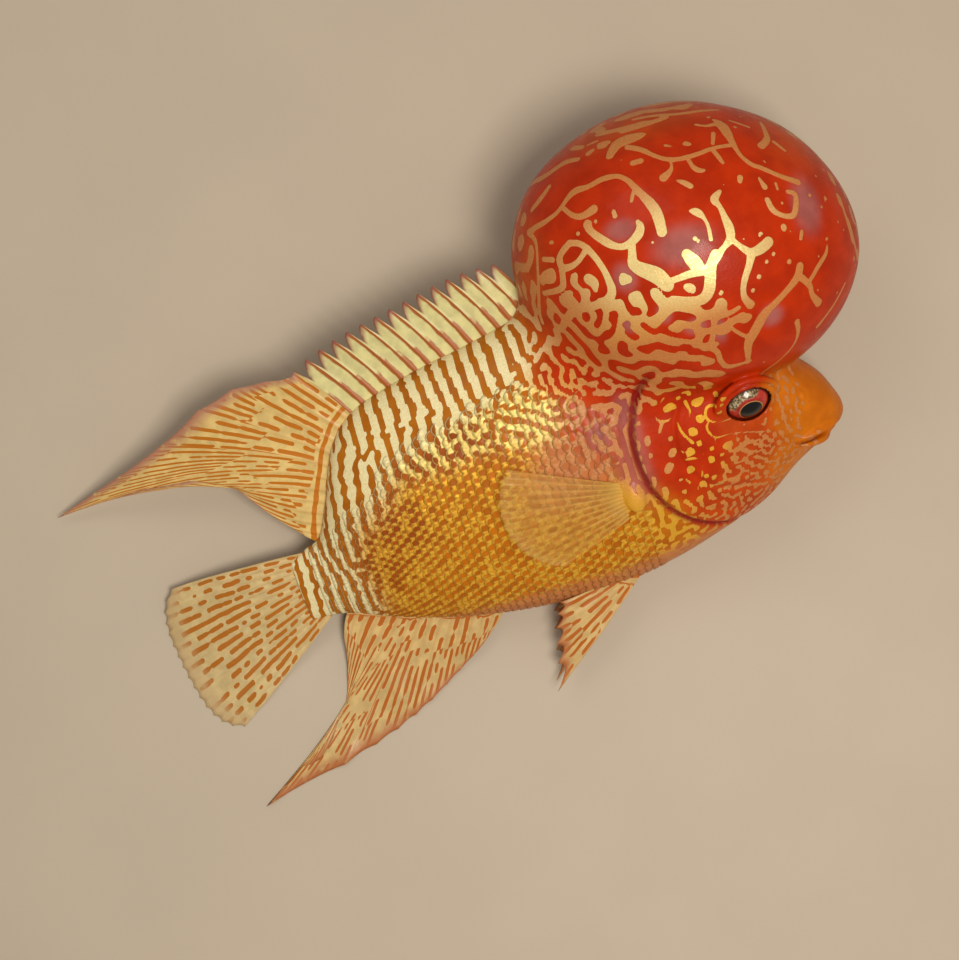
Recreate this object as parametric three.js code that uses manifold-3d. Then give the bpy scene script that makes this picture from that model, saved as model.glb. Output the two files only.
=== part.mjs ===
// A life-size flowerhorn cichlid lying on its left side, as a still museum model.
//
// The fish is drawn in its own frame, in millimetres: +X towards the snout, +Y towards the back, +Z towards
// its right side, with the origin at the middle of the forehead hump. FISH_ROLL, FISH_PITCH and HUMP_HEIGHT
// then lay it on the floor, on two flats: a small one under the hump and a longer one under the flank.
import * as THREE from "three";
import { mergeVertices } from "three/addons/utils/BufferGeometryUtils.js";
import Module from "manifold-3d";

const wasm = await Module();
wasm.setup();

// Driving dimensions

const JOINT_GAP = 0.3; // left between touching pieces
const { degToRad } = THREE.MathUtils;
const FISH_ROLL = degToRad(17.3); // the wide hump lifts the back off the floor
const FISH_PITCH = degToRad(5.1); // and the head above the tail
const HUMP_HEIGHT = 50; // middle of the hump above the floor
const FIN_CLEARANCE = 0.25; // a laid fin's lower face above the floor

const HUMP = { length: 122, height: 104, width: 100, tilt: degToRad(-17.35), boxiness: 1.93 };
const HUMP_SHIFT = [1, -1]; // along its length and its height
const HUMP_SEAT = { y: -36.9, slope: -0.47 }; // the plane on which the hump sits on the head and back
const HUMP_CREASE = { head: 3, nape: 13, napeX: -45 }; // reach of the fold where it meets the body

// Body stations from the tail stem to the snout: [x, back, belly, half width, fullness above the middle]
const STATIONS = [
  [-170, -68, -92, 2.4, 0],
  [-163, -64.5, -92.5, 4.6, 0],
  [-156, -61, -93.5, 7, 0],
  [-149, -48, -96, 9.6, 0],
  [-141, -31, -99.5, 12.6, 0],
  [-130, -20.5, -103.5, 16, 0],
  [-112, -14.5, -108.5, 19.4, 0],
  [-88, -10.5, -112.5, 22.2, 0],
  [-62, -6, -113.5, 23.8, 0.02],
  [-36, -8, -110.5, 24.6, 0.05],
  [-14, -14, -104.5, 25.2, 0.12],
  [4, -26, -98, 24, 0.2],
  [18, -40, -88.5, 19.5, 0.22],
  [28, -50.5, -83.2, 14.6, 0.15],
  [34.5, -58.5, -79.6, 10, 0.05],
  [38, -66.5, -76.4, 5, 0],
  [39.4, -71, -73.6, 1.2, 0],
];

// An ellipse of the side view; `front` is its inner edge's share, and the cover is `inner` deep and more
const GILL_COVER = { x: -2, y: -62, length: 34, height: 38, proud: 1.5, front: 0.6, inner: 13 };
const GILL_COVER_SPAN = { from: 118, to: 246 }; // degrees round the ellipse

const MOUTH = { corner: [19, -77.4], front: [35, -77.8], throat: [1, -103] };
const UPPER_LIP = { drop: 2.5, setBack: 0, radius: 2.6 };
const LOWER_LIP = { drop: -2.5, setBack: 4.6, radius: 2.3 };
const MOUTH_GAP = 0.4; // between the lower jaw and the head
const EYE = { x: 5.7, y: -54.2, radius: 9.5, proud: 4.4, axis: [0.1, -0.58, 0.8] };
const EYE_RIM = { wider: 0.9, radius: 1.4 };
const NOSTRIL = { x: 24, y: -60, radius: 1 };

const SPINE_ROW = { firstX: -52, lastX: -128.6, sunk: 4, arch: 1.5 };
const SPINE_SWEEP = [12.5, 15.5]; // how far a spine leans back, from the first to the last
const SPINE_RISE = [25, 24]; // and how far it rises
const TAIL_FIN = { rootX: -161, rootTop: -66, rootBottom: -91.5, length: 64, dip: -17, spread: 34 };
const PECTORAL = { root: [-41, -75.5], rootHeight: 11, rays: 12, length: 47, from: 152, to: 199 };
const LEFT_PECTORAL_TURN = -17; // degrees further down than the right one
const PELVIC = { root: [-48, -110], rays: 6, spacing: 1.3, longest: 54, shortest: 25, from: 218, to: 186 };

// Number helpers

const clamp01 = (t) => Math.min(1, Math.max(0, t));
const mix = (a, b, t) => a + (b - a) * t;

function smoothstep(from, to, x) {
  const t = clamp01((x - from) / (to - from));
  return t * t * (3 - 2 * t);
}

function smoothMin(a, b, reach) {
  const h = Math.max(reach - Math.abs(a - b), 0) / reach;
  return Math.min(a, b) - (h * h * reach) / 4;
}

const smoothMax = (a, b, reach) => -smoothMin(-a, -b, reach);

// One column of a table of rows that rise in their first number, as a smooth curve through them
function along(rows, x, column) {
  const last = rows.length - 1;
  let i = 0;
  while (i < last - 1 && x > rows[i + 1][0]) i += 1;
  const slope = (k) => {
    const a = rows[Math.max(k - 1, 0)];
    const b = rows[Math.min(k + 1, last)];
    return (b[column] - a[column]) / (b[0] - a[0]);
  };
  const [p, q] = [rows[i], rows[i + 1]];
  const span = q[0] - p[0];
  const t = clamp01((x - p[0]) / span);
  const [t2, t3] = [t * t, t * t * t];
  return (
    p[column] * (2 * t3 - 3 * t2 + 1) +
    q[column] * (3 * t2 - 2 * t3) +
    span * (slope(i) * (t3 - 2 * t2 + t) + slope(i + 1) * (t3 - t2))
  );
}

// The shape of the flesh, as distances in millimetres that are negative inside

// How far out a point of the hump's own axes lies, as a share of the way to its surface
const humpShare = (u, v, w) =>
  Math.hypot((Math.abs(u) ** HUMP.boxiness + Math.abs(v) ** HUMP.boxiness) ** (1 / HUMP.boxiness), w);

function humpDistance(x, y, z) {
  const [c, s] = [Math.cos(HUMP.tilt), Math.sin(HUMP.tilt)];
  const radii = [HUMP.length / 2, HUMP.height / 2, HUMP.width / 2];
  const [u, v] = [x * c + y * s - HUMP_SHIFT[0], -x * s + y * c - HUMP_SHIFT[1]];
  const p = [u / radii[0], v / radii[1], z / radii[2]];
  const k = humpShare(...p);
  const steep = Math.hypot(p[0] / radii[0], p[1] / radii[1], p[2] / radii[2]);
  return steep < 1e-6 ? -radii[2] : (k * (k - 1)) / steep;
}

function bodyDistance(x, y, z) {
  const back = along(STATIONS, x, 1);
  const belly = along(STATIONS, x, 2);
  const fullness = along(STATIONS, x, 4);
  const half = Math.max((back - belly) / 2, 0.4);
  const s = (y - (back + belly) / 2) / half;
  const width = Math.max(along(STATIONS, x, 3), 0.4) * Math.max(1 + fullness * s, 0.4);
  const q = Math.hypot(s, z / width);
  const steep = Math.hypot(s / half, z / (width * width));
  const side = steep < 1e-6 ? -width : (q * (q - 1)) / steep;
  const ends = Math.max(x - STATIONS.at(-1)[0], STATIONS[0][0] - x);
  return Math.max(side, ends);
}

// 1 on the gill cover's rear edge, 0 at the middle of its ellipse
function gillRing(x, y) {
  return Math.hypot((x - GILL_COVER.x) / GILL_COVER.length, (y - GILL_COVER.y) / GILL_COVER.height);
}

function fleshDistance(x, y, z) {
  const crease = mix(HUMP_CREASE.head, HUMP_CREASE.nape, smoothstep(0, HUMP_CREASE.napeX, x));
  return smoothMin(bodyDistance(x, y, z), humpDistance(x, y, z), crease);
}

function headDistance(x, y, z) {
  const behind = smoothstep(0, -12, x - GILL_COVER.x);
  return fleshDistance(x, y, z) - GILL_COVER.proud * behind * smoothstep(0.6, 0.97, gillRing(x, y));
}

// Half width of a shape at a point of the side view
function surfaceZ(distance, x, y) {
  let [inside, outside] = [0, 70];
  for (let i = 0; i < 40; i += 1) {
    const middle = (inside + outside) / 2;
    if (distance(x, y, middle) < 0) inside = middle;
    else outside = middle;
  }
  return inside;
}

// The floor's height in the fish's frame, below a point of the side view
function floorZ(x, y) {
  const [sr, cr] = [Math.sin(FISH_ROLL), Math.cos(FISH_ROLL)];
  const [sp, cp] = [Math.sin(FISH_PITCH), Math.cos(FISH_PITCH)];
  return -(HUMP_HEIGHT + x * sp + y * sr * cp) / (cr * cp);
}

// Meshes and solids

function geometryOf(points, faces) {
  const geometry = new THREE.BufferGeometry();
  geometry.setAttribute("position", new THREE.Float32BufferAttribute(points.flat(), 3));
  geometry.setIndex(faces.flat());
  return geometry;
}

function solidOf(geometry) {
  const bare = geometry.clone();
  bare.deleteAttribute("normal");
  bare.deleteAttribute("uv");
  const merged = mergeVertices(bare, 1e-4);
  const mesh = new wasm.Mesh({
    numProp: 3,
    vertProperties: new Float32Array(merged.attributes.position.array),
    triVerts: new Uint32Array(merged.index.array),
  });
  return new wasm.Manifold(mesh);
}

// A solid's largest closed surface, as a geometry
function shapeOf(solid) {
  const largest = solid.decompose().reduce((a, b) => (b.volume() > a.volume() ? b : a));
  const mesh = largest.getMesh();
  const geometry = new THREE.BufferGeometry();
  geometry.setAttribute("position", new THREE.BufferAttribute(mesh.vertProperties, 3));
  geometry.setIndex(new THREE.BufferAttribute(mesh.triVerts, 1));
  return geometry;
}

// A closed net over the zero of a distance, with one corner in each grid cell that the surface crosses,
// pushed out by `grown`
function netOf(distance, low, high, cell, grown = 0) {
  const count = low.map((v, i) => Math.ceil((high[i] - v) / cell) + 1);
  const at = (i, j, k) => (k * count[1] + j) * count[0] + i;
  const place = (index, axis) => low[axis] + index * cell;
  const values = new Float64Array(count[0] * count[1] * count[2]);
  for (let k = 0; k < count[2]; k += 1)
    for (let j = 0; j < count[1]; j += 1)
      for (let i = 0; i < count[0]; i += 1) {
        const edge = [i, j, k].some((v, axis) => v === 0 || v === count[axis] - 1);
        values[at(i, j, k)] = edge ? 1 : distance(place(i, 0), place(j, 1), place(k, 2));
      }
  const corners = [0, 1, 2, 3, 4, 5, 6, 7].map((n) => [n & 1, (n >> 1) & 1, n >> 2]);
  const edges = [];
  corners.forEach((a, m) =>
    corners.forEach((b, n) => {
      if (m < n && a.filter((v, axis) => v !== b[axis]).length === 1) edges.push([a, b]);
    }),
  );
  const points = [];
  const pointIn = new Map();
  for (let k = 0; k < count[2] - 1; k += 1)
    for (let j = 0; j < count[1] - 1; j += 1)
      for (let i = 0; i < count[0] - 1; i += 1) {
        const sum = [0, 0, 0];
        let crossings = 0;
        for (const [a, b] of edges) {
          const va = values[at(i + a[0], j + a[1], k + a[2])];
          const vb = values[at(i + b[0], j + b[1], k + b[2])];
          if (va < 0 === vb < 0) continue;
          const t = va / (va - vb);
          for (let axis = 0; axis < 3; axis += 1) sum[axis] += mix(a[axis], b[axis], t);
          crossings += 1;
        }
        if (!crossings) continue;
        pointIn.set(at(i, j, k), points.length);
        points.push([i, j, k].map((v, axis) => place(v, axis) + (sum[axis] / crossings) * cell));
      }
  const faces = [];
  const distanceOf = (a, b) => Math.hypot(...points[a].map((v, axis) => v - points[b][axis]));
  for (let k = 0; k < count[2] - 1; k += 1)
    for (let j = 0; j < count[1] - 1; j += 1)
      for (let i = 0; i < count[0] - 1; i += 1)
        for (let axis = 0; axis < 3; axis += 1) {
          const here = values[at(i, j, k)] < 0;
          const next = values[at(i + (axis === 0), j + (axis === 1), k + (axis === 2))] < 0;
          if (here === next) continue;
          const [u, v] = [(axis + 1) % 3, (axis + 2) % 3];
          const quad = [[0, 0], [1, 0], [1, 1], [0, 1]].map(([du, dv]) => {
            const cellAt = [i, j, k];
            cellAt[u] -= 1 - du;
            cellAt[v] -= 1 - dv;
            return pointIn.get(at(...cellAt));
          });
          if (!here) quad.reverse();
          const [a, b, c, d] = quad;
          if (distanceOf(a, c) < distanceOf(b, d)) faces.push([a, b, c], [a, c, d]);
          else faces.push([a, b, d], [b, c, d]);
        }
  const net = geometryOf(points, faces);
  net.computeVertexNormals();
  const { position, normal } = net.attributes;
  const corner = new THREE.Vector3();
  for (let i = 0; i < points.length; i += 1) {
    corner.fromBufferAttribute(normal, i).multiplyScalar(grown);
    position.setXYZ(i, points[i][0] + corner.x, points[i][1] + corner.y, points[i][2] + corner.z);
  }
  return solidOf(net);
}

// An outline of the side view as a prism across the fish
function prismOf(outline, lowZ = -90, highZ = 90) {
  const shape = new THREE.Shape(outline.map(([x, y]) => new THREE.Vector2(x, y)));
  const geometry = new THREE.ExtrudeGeometry(shape, { depth: highZ - lowZ, bevelEnabled: false });
  return solidOf(geometry.translate(0, 0, lowZ));
}

function arcOf(centre, radii, from, to, steps) {
  return Array.from({ length: steps + 1 }, (_, i) => {
    const angle = degToRad(mix(from, to, i / steps));
    return [centre[0] + radii[0] * Math.cos(angle), centre[1] + radii[1] * Math.sin(angle)];
  });
}

// A closed tube along points, each [x, y, z, radius]
function tubeOf(path, sides) {
  const curve = new THREE.CatmullRomCurve3(path.map(([x, y, z]) => new THREE.Vector3(x, y, z)));
  const steps = (path.length - 1) * 2;
  const frames = curve.computeFrenetFrames(steps, false);
  const points = [];
  const faces = [];
  for (let i = 0; i <= steps; i += 1) {
    const t = i / steps;
    const centre = curve.getPoint(t);
    const station = t * (path.length - 1);
    const k = Math.min(Math.floor(station), path.length - 2);
    const radius = mix(path[k][3], path[k + 1][3], station - k);
    for (let j = 0; j < sides; j += 1) {
      const angle = (2 * Math.PI * j) / sides;
      const p = centre
        .clone()
        .addScaledVector(frames.normals[i], radius * Math.cos(angle))
        .addScaledVector(frames.binormals[i], radius * Math.sin(angle));
      points.push(p.toArray());
      const [a, b] = [i * sides + j, i * sides + ((j + 1) % sides)];
      if (i < steps) faces.push([a, b, b + sides], [a, b + sides, a + sides]);
    }
  }
  const ends = [points.push(curve.getPoint(0).toArray()) - 1, points.push(curve.getPoint(1).toArray()) - 1];
  for (let j = 0; j < sides; j += 1) {
    const next = (j + 1) % sides;
    faces.push([ends[0], next, j], [ends[1], steps * sides + j, steps * sides + next]);
  }
  return solidOf(geometryOf(points, faces));
}

function ballOf(centre, radius, around = 16, down = 10) {
  return solidOf(new THREE.SphereGeometry(radius, around, down).translate(...centre));
}

// Everything below the floor, to cut the flats
const floorCut = (() => {
  const block = new THREE.BoxGeometry(700, 500, 200).translate(0, 0, -100 - HUMP_HEIGHT);
  const turn = new THREE.Matrix4().makeRotationFromEuler(new THREE.Euler(FISH_ROLL, -FISH_PITCH, 0, "YXZ"));
  return solidOf(block.applyMatrix4(turn.invert()));
})();

// The hump: a fatty bulge on the forehead and nape, seated on a slanted plane

const seatY = (x) => HUMP_SEAT.y + HUMP_SEAT.slope * x;

function humpSolid(grown) {
  const geometry = new THREE.SphereGeometry(1, 40, 26).rotateX(Math.PI / 2);
  const place = geometry.attributes.position;
  for (let i = 0; i < place.count; i += 1) {
    const p = new THREE.Vector3().fromBufferAttribute(place, i);
    place.setXYZ(i, ...p.divideScalar(humpShare(p.x, p.y, p.z)).toArray());
  }
  geometry.scale(HUMP.length / 2 + grown, HUMP.height / 2 + grown, HUMP.width / 2 + grown);
  geometry.translate(...HUMP_SHIFT, 0).rotateZ(HUMP.tilt);
  const below = [[-120, seatY(-120) - grown], [120, seatY(120) - grown], [120, -200], [-120, -200]];
  return solidOf(geometry).subtract(prismOf(below.reverse()));
}

const humpRoom = humpSolid(JOINT_GAP);
const hump = humpSolid(0).subtract(floorCut);

// Head, gill covers and lower jaw

function gillEdge(share, grown, from = 95, to = 265) {
  const centre = [GILL_COVER.x, GILL_COVER.y];
  return arcOf(centre, [GILL_COVER.length * share + grown, GILL_COVER.height * share + grown], from, to, 18);
}

// The side view in front of the gill covers' rear edge
function headOutline(grown) {
  const edge = gillEdge(1, grown, 90, 270);
  return [[70, 60], [edge[0][0], 60], ...edge, [edge.at(-1)[0], -150], [70, -150]];
}

function gillCoverRoom(side, grown) {
  const [from, to] = [GILL_COVER_SPAN.from - 2 * grown, GILL_COVER_SPAN.to + 2 * grown];
  const outer = gillEdge(1, 0.5, from, to);
  const inner = gillEdge(GILL_COVER.front, -grown, from, to);
  const low = GILL_COVER.inner - grown;
  const room = prismOf([...outer, ...inner.reverse()], low, 60);
  return side > 0 ? room : room.mirror([0, 0, 1]);
}

function jawOutline(grown) {
  const [corner, front, throat] = [MOUTH.corner, MOUTH.front, MOUTH.throat];
  return [
    [corner[0] - 2 * grown, corner[1] + grown],
    [throat[0] - grown, throat[1]],
    [throat[0], -125],
    [60, -125],
    [front[0] + 25, front[1] + grown],
  ];
}

// Eye places: on the surface, and sunk so that a low cap shows
const eyeAxis = new THREE.Vector3(...EYE.axis).normalize();
const eyeSurface = new THREE.Vector3(EYE.x, EYE.y, surfaceZ(headDistance, EYE.x, EYE.y));
const eyeCentre = eyeSurface.clone().addScaledVector(eyeAxis, EYE.proud - EYE.radius);

const mirrored = (v, side) => new THREE.Vector3(v.x, v.y, side * v.z);

// The raised rim round an eye
function eyeRim(side) {
  const [centre, axis] = [mirrored(eyeSurface, side), mirrored(eyeAxis, side)];
  const rimRadius = Math.sqrt(EYE.radius ** 2 - (EYE.radius - EYE.proud) ** 2) + EYE_RIM.wider;
  const rim = new THREE.TorusGeometry(rimRadius, EYE_RIM.radius, 6, 20);
  const turn = new THREE.Quaternion().setFromUnitVectors(new THREE.Vector3(0, 0, 1), axis);
  return solidOf(rim.applyQuaternion(turn).translate(...centre.toArray()));
}

// Half of a lip's path, from the corner of the mouth round to the front, then mirrored
function lip({ drop, setBack, radius }) {
  const [cx, cy] = MOUTH.corner;
  const reach = MOUTH.front[0] - cx - setBack;
  const cornerZ = surfaceZ(headDistance, cx, cy) - 0.4;
  const half = [0, 0.3, 0.62, 0.88, 1].map((t) => {
    const angle = (t * Math.PI) / 2;
    const y = mix(cy, MOUTH.front[1], t) + drop * Math.sin(angle) ** 0.5;
    const thick = mix(radius * 0.45, radius, t ** 0.6);
    return [cx + reach * Math.sin(angle), y, cornerZ * Math.cos(angle) ** 0.85, thick];
  });
  const otherHalf = half.slice(0, -1).reverse().map(([x, y, z, r]) => [x, y, -z, r]);
  return tubeOf([...half, ...otherHalf], 6);
}

const nostrilZ = surfaceZ(headDistance, NOSTRIL.x, NOSTRIL.y);

const HEAD_BOX = [[-44, -118, -34], [46, -8, 34]];
const HEAD_CELL = 3.9;
let skull = netOf(headDistance, ...HEAD_BOX, HEAD_CELL).add(lip(UPPER_LIP)).add(lip(LOWER_LIP));
for (const side of [1, -1]) {
  skull = skull.add(eyeRim(side));
  skull = skull.subtract(ballOf(mirrored(eyeCentre, side).toArray(), EYE.radius + JOINT_GAP));
  skull = skull.subtract(ballOf([NOSTRIL.x, NOSTRIL.y, side * (nostrilZ + 0.1)], NOSTRIL.radius, 8, 6));
}
skull = skull.intersect(prismOf(headOutline(0))).subtract(humpRoom).subtract(floorCut);

const lowerJaw = skull.intersect(prismOf(jawOutline(-MOUTH_GAP / 2)));
let head = skull.subtract(prismOf(jawOutline(MOUTH_GAP / 2)));
const gillCovers = [1, -1].map((side) => head.intersect(gillCoverRoom(side, 0)));
for (const side of [1, -1]) head = head.subtract(gillCoverRoom(side, JOINT_GAP));

// Torso and tail stem

const STEM_CUT = -143; // where the tail stem begins
const BODY_BOX = [[-174, -122, -34], [6, 12, 34]];
const BODY_CELL = 5.7;
const bodyNet = netOf(fleshDistance, ...BODY_BOX, BODY_CELL);
const bodyBehindHead = bodyNet
  .subtract(prismOf(headOutline(JOINT_GAP)))
  .subtract(humpRoom)
  .subtract(floorCut);
const sideBox = (fromX, toX) => prismOf([[fromX, -200], [toX, -200], [toX, 100], [fromX, 100]]);
const torso = bodyBehindHead.intersect(sideBox(STEM_CUT + JOINT_GAP / 2, 60));
const tailStem = bodyBehindHead.intersect(sideBox(-220, STEM_CUT - JOINT_GAP / 2));

// Room for the flesh in the fins' roots
const fleshRoom = netOf(fleshDistance, ...BODY_BOX, BODY_CELL, 1.1 * JOINT_GAP).add(humpRoom);

// Fins

const FIN_WEB = 0.55; // thickness of the skin between the rays
const FIN_RAY = 1.5; // thickness of a ray at its root

// A quadratic bend from a ray's root over its bend to its tip
function onRay(ray, t) {
  return [0, 1].map((i) => (1 - t) ** 2 * ray.root[i] + 2 * t * (1 - t) * ray.bend[i] + t * t * ray.tip[i]);
}

// A fin from its rays: a ridge on each ray, and the web between two rays set back at the margin
function finOf(rays, rows, notch, middleZ) {
  const columns = 2 * rays.length - 1;
  const points = [];
  const faces = [];
  for (let c = 0; c < columns; c += 1) {
    const ray = rays[c >> 1];
    for (let r = 0; r <= rows; r += 1) {
      const t = r / rows;
      let [x, y] = onRay(ray, t);
      let thick = mix(FIN_RAY, FIN_WEB, t ** 0.7);
      if (c % 2) {
        const back = t * (1 - notch);
        const [a, b] = [onRay(ray, back), onRay(rays[(c >> 1) + 1], back)];
        [x, y] = [(a[0] + b[0]) / 2, (a[1] + b[1]) / 2];
        thick = FIN_WEB;
      }
      const z = middleZ(x, y, thick / 2);
      points.push([x, y, z + thick / 2], [x, y, z - thick / 2]);
    }
  }
  const top = (c, r) => 2 * (c * (rows + 1) + r);
  for (let c = 0; c < columns - 1; c += 1)
    for (let r = 0; r < rows; r += 1) {
      const [a, b, d, e] = [top(c, r), top(c + 1, r), top(c + 1, r + 1), top(c, r + 1)];
      faces.push([a, b, d], [a, d, e], [b + 1, a + 1, d + 1], [d + 1, a + 1, e + 1]);
    }
  const rim = [];
  for (let c = 0; c < columns; c += 1) rim.push(top(c, 0));
  for (let r = 1; r <= rows; r += 1) rim.push(top(columns - 1, r));
  for (let c = columns - 2; c >= 0; c -= 1) rim.push(top(c, rows));
  for (let r = rows - 1; r > 0; r -= 1) rim.push(top(0, r));
  rim.forEach((a, i) => {
    const b = rim[(i + 1) % rim.length];
    faces.push([b, a, a + 1], [b, a + 1, b + 1]);
  });
  const solid = solidOf(geometryOf(points, faces));
  return solid.volume() < 0 ? solidOf(geometryOf(points, faces.map(([a, b, c]) => [a, c, b]))) : solid;
}

function raysOf(roots, tips, bendOf) {
  return roots.map((root, i) => ({ root, tip: tips[i], bend: bendOf(root, tips[i], i) }));
}

// A bend that leaves the root at an angle, at a share of the ray's length
function bendAt(root, tip, angle, share) {
  const length = Math.hypot(tip[0] - root[0], tip[1] - root[1]);
  return [root[0] - share * length * Math.cos(angle), root[1] + share * length * Math.sin(angle)];
}

// A fin in the fish's middle plane that sinks towards its tips and lies down where it meets the floor
const laidFin = (sink) => (x, y, half) => smoothMax(sink(x, y), floorZ(x, y) + half + FIN_CLEARANCE, 5);

// Dorsal fin: stiff spines along the back, then soft rays that draw out into a long streamer
const SPINES = 15;
const spineRoots = Array.from({ length: SPINES }, (_, i) => {
  const x = mix(SPINE_ROW.firstX, SPINE_ROW.lastX, i / (SPINES - 1));
  return [x, along(STATIONS, x, 1) - SPINE_ROW.sunk];
});
const spineTips = spineRoots.map(([x, y], i) => {
  const t = i / (SPINES - 1);
  return [x - mix(...SPINE_SWEEP, t), y + mix(...SPINE_RISE, t) + SPINE_ROW.arch * Math.sin(Math.PI * t)];
});
const straight = (root, tip) => [(root[0] + tip[0]) / 2, (root[1] + tip[1]) / 2];
const SPINE_BOW = [1.2, 1.6]; // forward and up, at the middle of a spine
const spinyRays = raysOf(spineRoots, spineTips, (root, tip) => {
  const [x, y] = straight(root, tip);
  return [x + SPINE_BOW[0], y + SPINE_BOW[1]];
});

const SOFT_ROOTS = [
  [-130.6, -24], [-134.2, -26.5], [-137.5, -30], [-140, -34], [-142.2, -38.2], [-144.2, -42.4],
  [-146.1, -46.5], [-148, -50.4], [-149.8, -54.2], [-151.4, -57.8], [-152.8, -61.2], [-154, -64.4],
];
const SOFT_TIPS = [
  [-146.2, -1.5], [-155.5, -0.2], [-168, 0.4], [-183, -3.6], [-203, -13.5], [-250, -29.5],
  [-214, -26.6], [-191, -28.2], [-181, -34], [-175.5, -42], [-170, -50], [-163.5, -57],
];
const softRays = raysOf(SOFT_ROOTS, SOFT_TIPS, (root, tip, i) => {
  const rise = degToRad(mix(59, 4, (i / (SOFT_ROOTS.length - 1)) ** 0.8));
  return bendAt(root, tip, rise, 0.45);
});
const dorsalSink = (x) => -0.0013 * Math.max(0, -132 - x) ** 2;
const dorsalSpiny = finOf(spinyRays, 5, 0.16, () => 0).subtract(fleshRoom);
const dorsalSoft = finOf(softRays, 8, 0.02, laidFin(dorsalSink)).subtract(fleshRoom);

// Tail fin: a rounded fan on the tail stem's end, whose outer rays are a little shorter
const TAIL_RAYS = 16;
const tailShare = (i) => i / (TAIL_RAYS - 1);
const tailRoots = Array.from({ length: TAIL_RAYS }, (_, i) => {
  return [TAIL_FIN.rootX, mix(TAIL_FIN.rootTop, TAIL_FIN.rootBottom, tailShare(i))];
});
const tailTips = tailRoots.map(([x, y], i) => {
  const t = 2 * tailShare(i) - 1;
  const angle = degToRad(TAIL_FIN.dip - (TAIL_FIN.spread / 2) * t);
  const length = TAIL_FIN.length * (1 - 0.13 * t ** 4);
  return [x - length * Math.cos(angle), y + length * Math.sin(angle)];
});
const tailRays = raysOf(tailRoots, tailTips, (root, tip, i) => {
  const [x, y] = straight(root, tip);
  return [x, y - 2.4 * (2 * tailShare(i) - 1)];
});
const tailSink = (x) => -0.002 * (x - TAIL_FIN.rootX) ** 2;
const tailFin = finOf(tailRays, 6, 0.03, laidFin(tailSink)).subtract(fleshRoom);

// Anal fin: a few short spines, then soft rays that draw out into a streamer
const ANAL_RAYS = 16;
const analRoots = Array.from({ length: ANAL_RAYS }, (_, i) => {
  const x = mix(-99, -154, i / (ANAL_RAYS - 1));
  return [x, along(STATIONS, x, 2) + 3.5];
});
const ANAL_TIPS = [
  [-107, -116.5], [-112, -120.5], [-117.5, -124.3], [-123.5, -128], [-130, -131.5], [-137, -135],
  [-144.5, -138.3], [-152.5, -141.3], [-162, -144], [-175, -146.8], [-208, -152], [-183, -142],
  [-172, -133], [-166.5, -123], [-163, -113], [-161, -103.5],
];
const analRays = raysOf(analRoots, ANAL_TIPS, (root, tip, i) => {
  return bendAt(root, tip, degToRad(mix(-64, -40, i / (ANAL_RAYS - 1))), 0.42);
});
const analFin = finOf(analRays, 6, 0.05, laidFin(() => 0)).subtract(fleshRoom);

// Paired fins

function pectoralRays(turn) {
  const spread = (i) => mix(PECTORAL.from, PECTORAL.to, i / (PECTORAL.rays - 1));
  const spreadAt = (i) => degToRad(spread(i) + turn);
  const roots = Array.from({ length: PECTORAL.rays }, (_, i) => {
    const t = i / (PECTORAL.rays - 1) - 0.5;
    return [PECTORAL.root[0] + 2 * t, PECTORAL.root[1] - PECTORAL.rootHeight * t];
  });
  const tips = roots.map(([x, y], i) => {
    const t = (2 * i) / (PECTORAL.rays - 1) - 1;
    const length = PECTORAL.length * (1 - 0.16 * t * t - 0.1 * t);
    return [x + length * Math.cos(spreadAt(i)), y + length * Math.sin(spreadAt(i))];
  });
  return raysOf(roots, tips, straight);
}

// The right fin lies back along the flank and stands a little off it; the left one is pressed under the body
const flankZ = (x, y) => surfaceZ(fleshDistance, x, y);
const pectoralRight = finOf(pectoralRays(0), 5, 0.04, (x, y) => {
  const out = clamp01((PECTORAL.root[0] - 3 - x) / 40);
  return flankZ(x, y) - 1.4 + 6.6 * Math.sqrt(out) + 3 * out * out;
}).subtract(fleshRoom);
const pectoralLeft = finOf(pectoralRays(LEFT_PECTORAL_TURN), 5, 0.04, (x, y, half) => {
  const out = clamp01((PECTORAL.root[0] - 1 - x) / 12);
  const low = -flankZ(x, y) + 1.2 - 3 * out;
  const floorLimit = floorZ(x, y) + half + FIN_CLEARANCE;
  return Math.max(low, floorLimit);
}).subtract(fleshRoom);

function pelvicFin(side) {
  const { root, rays: count, spacing, longest, shortest, from, to } = PELVIC;
  const roots = Array.from({ length: count }, (_, i) => {
    return [root[0] - spacing * i, root[1] + 0.4 * spacing * i];
  });
  const tips = roots.map(([x, y], i) => {
    const t = i / (count - 1);
    const angle = degToRad(mix(from, to, t));
    const length = mix(longest, shortest, t ** 0.7);
    return [x + length * Math.cos(angle), y + length * Math.sin(angle)];
  });
  const rays = raysOf(roots, tips, (a, b) => [mix(a[0], b[0], 0.45), mix(a[1], b[1], 0.45) - 1.5]);
  const out = (x) => side * (6 + 0.12 * (PELVIC.root[0] - x));
  return finOf(rays, 6, 0.08, laidFin(out)).subtract(fleshRoom);
}

// The finished group

const COLOURS = {
  hump: ["#c8321c", 0.28],
  face: ["#c9641f", 0.32],
  flank: ["#cf9a3c", 0.36],
  fin: ["#d9a552", 0.45],
  eye: ["#b3262a", 0.12],
};

function meshOf(name, solid, finish) {
  const [color, roughness] = COLOURS[finish];
  const material = new THREE.MeshStandardMaterial({ color, roughness, metalness: 0 });
  const mesh = new THREE.Mesh(shapeOf(solid), material);
  mesh.name = name;
  return mesh;
}

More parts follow.
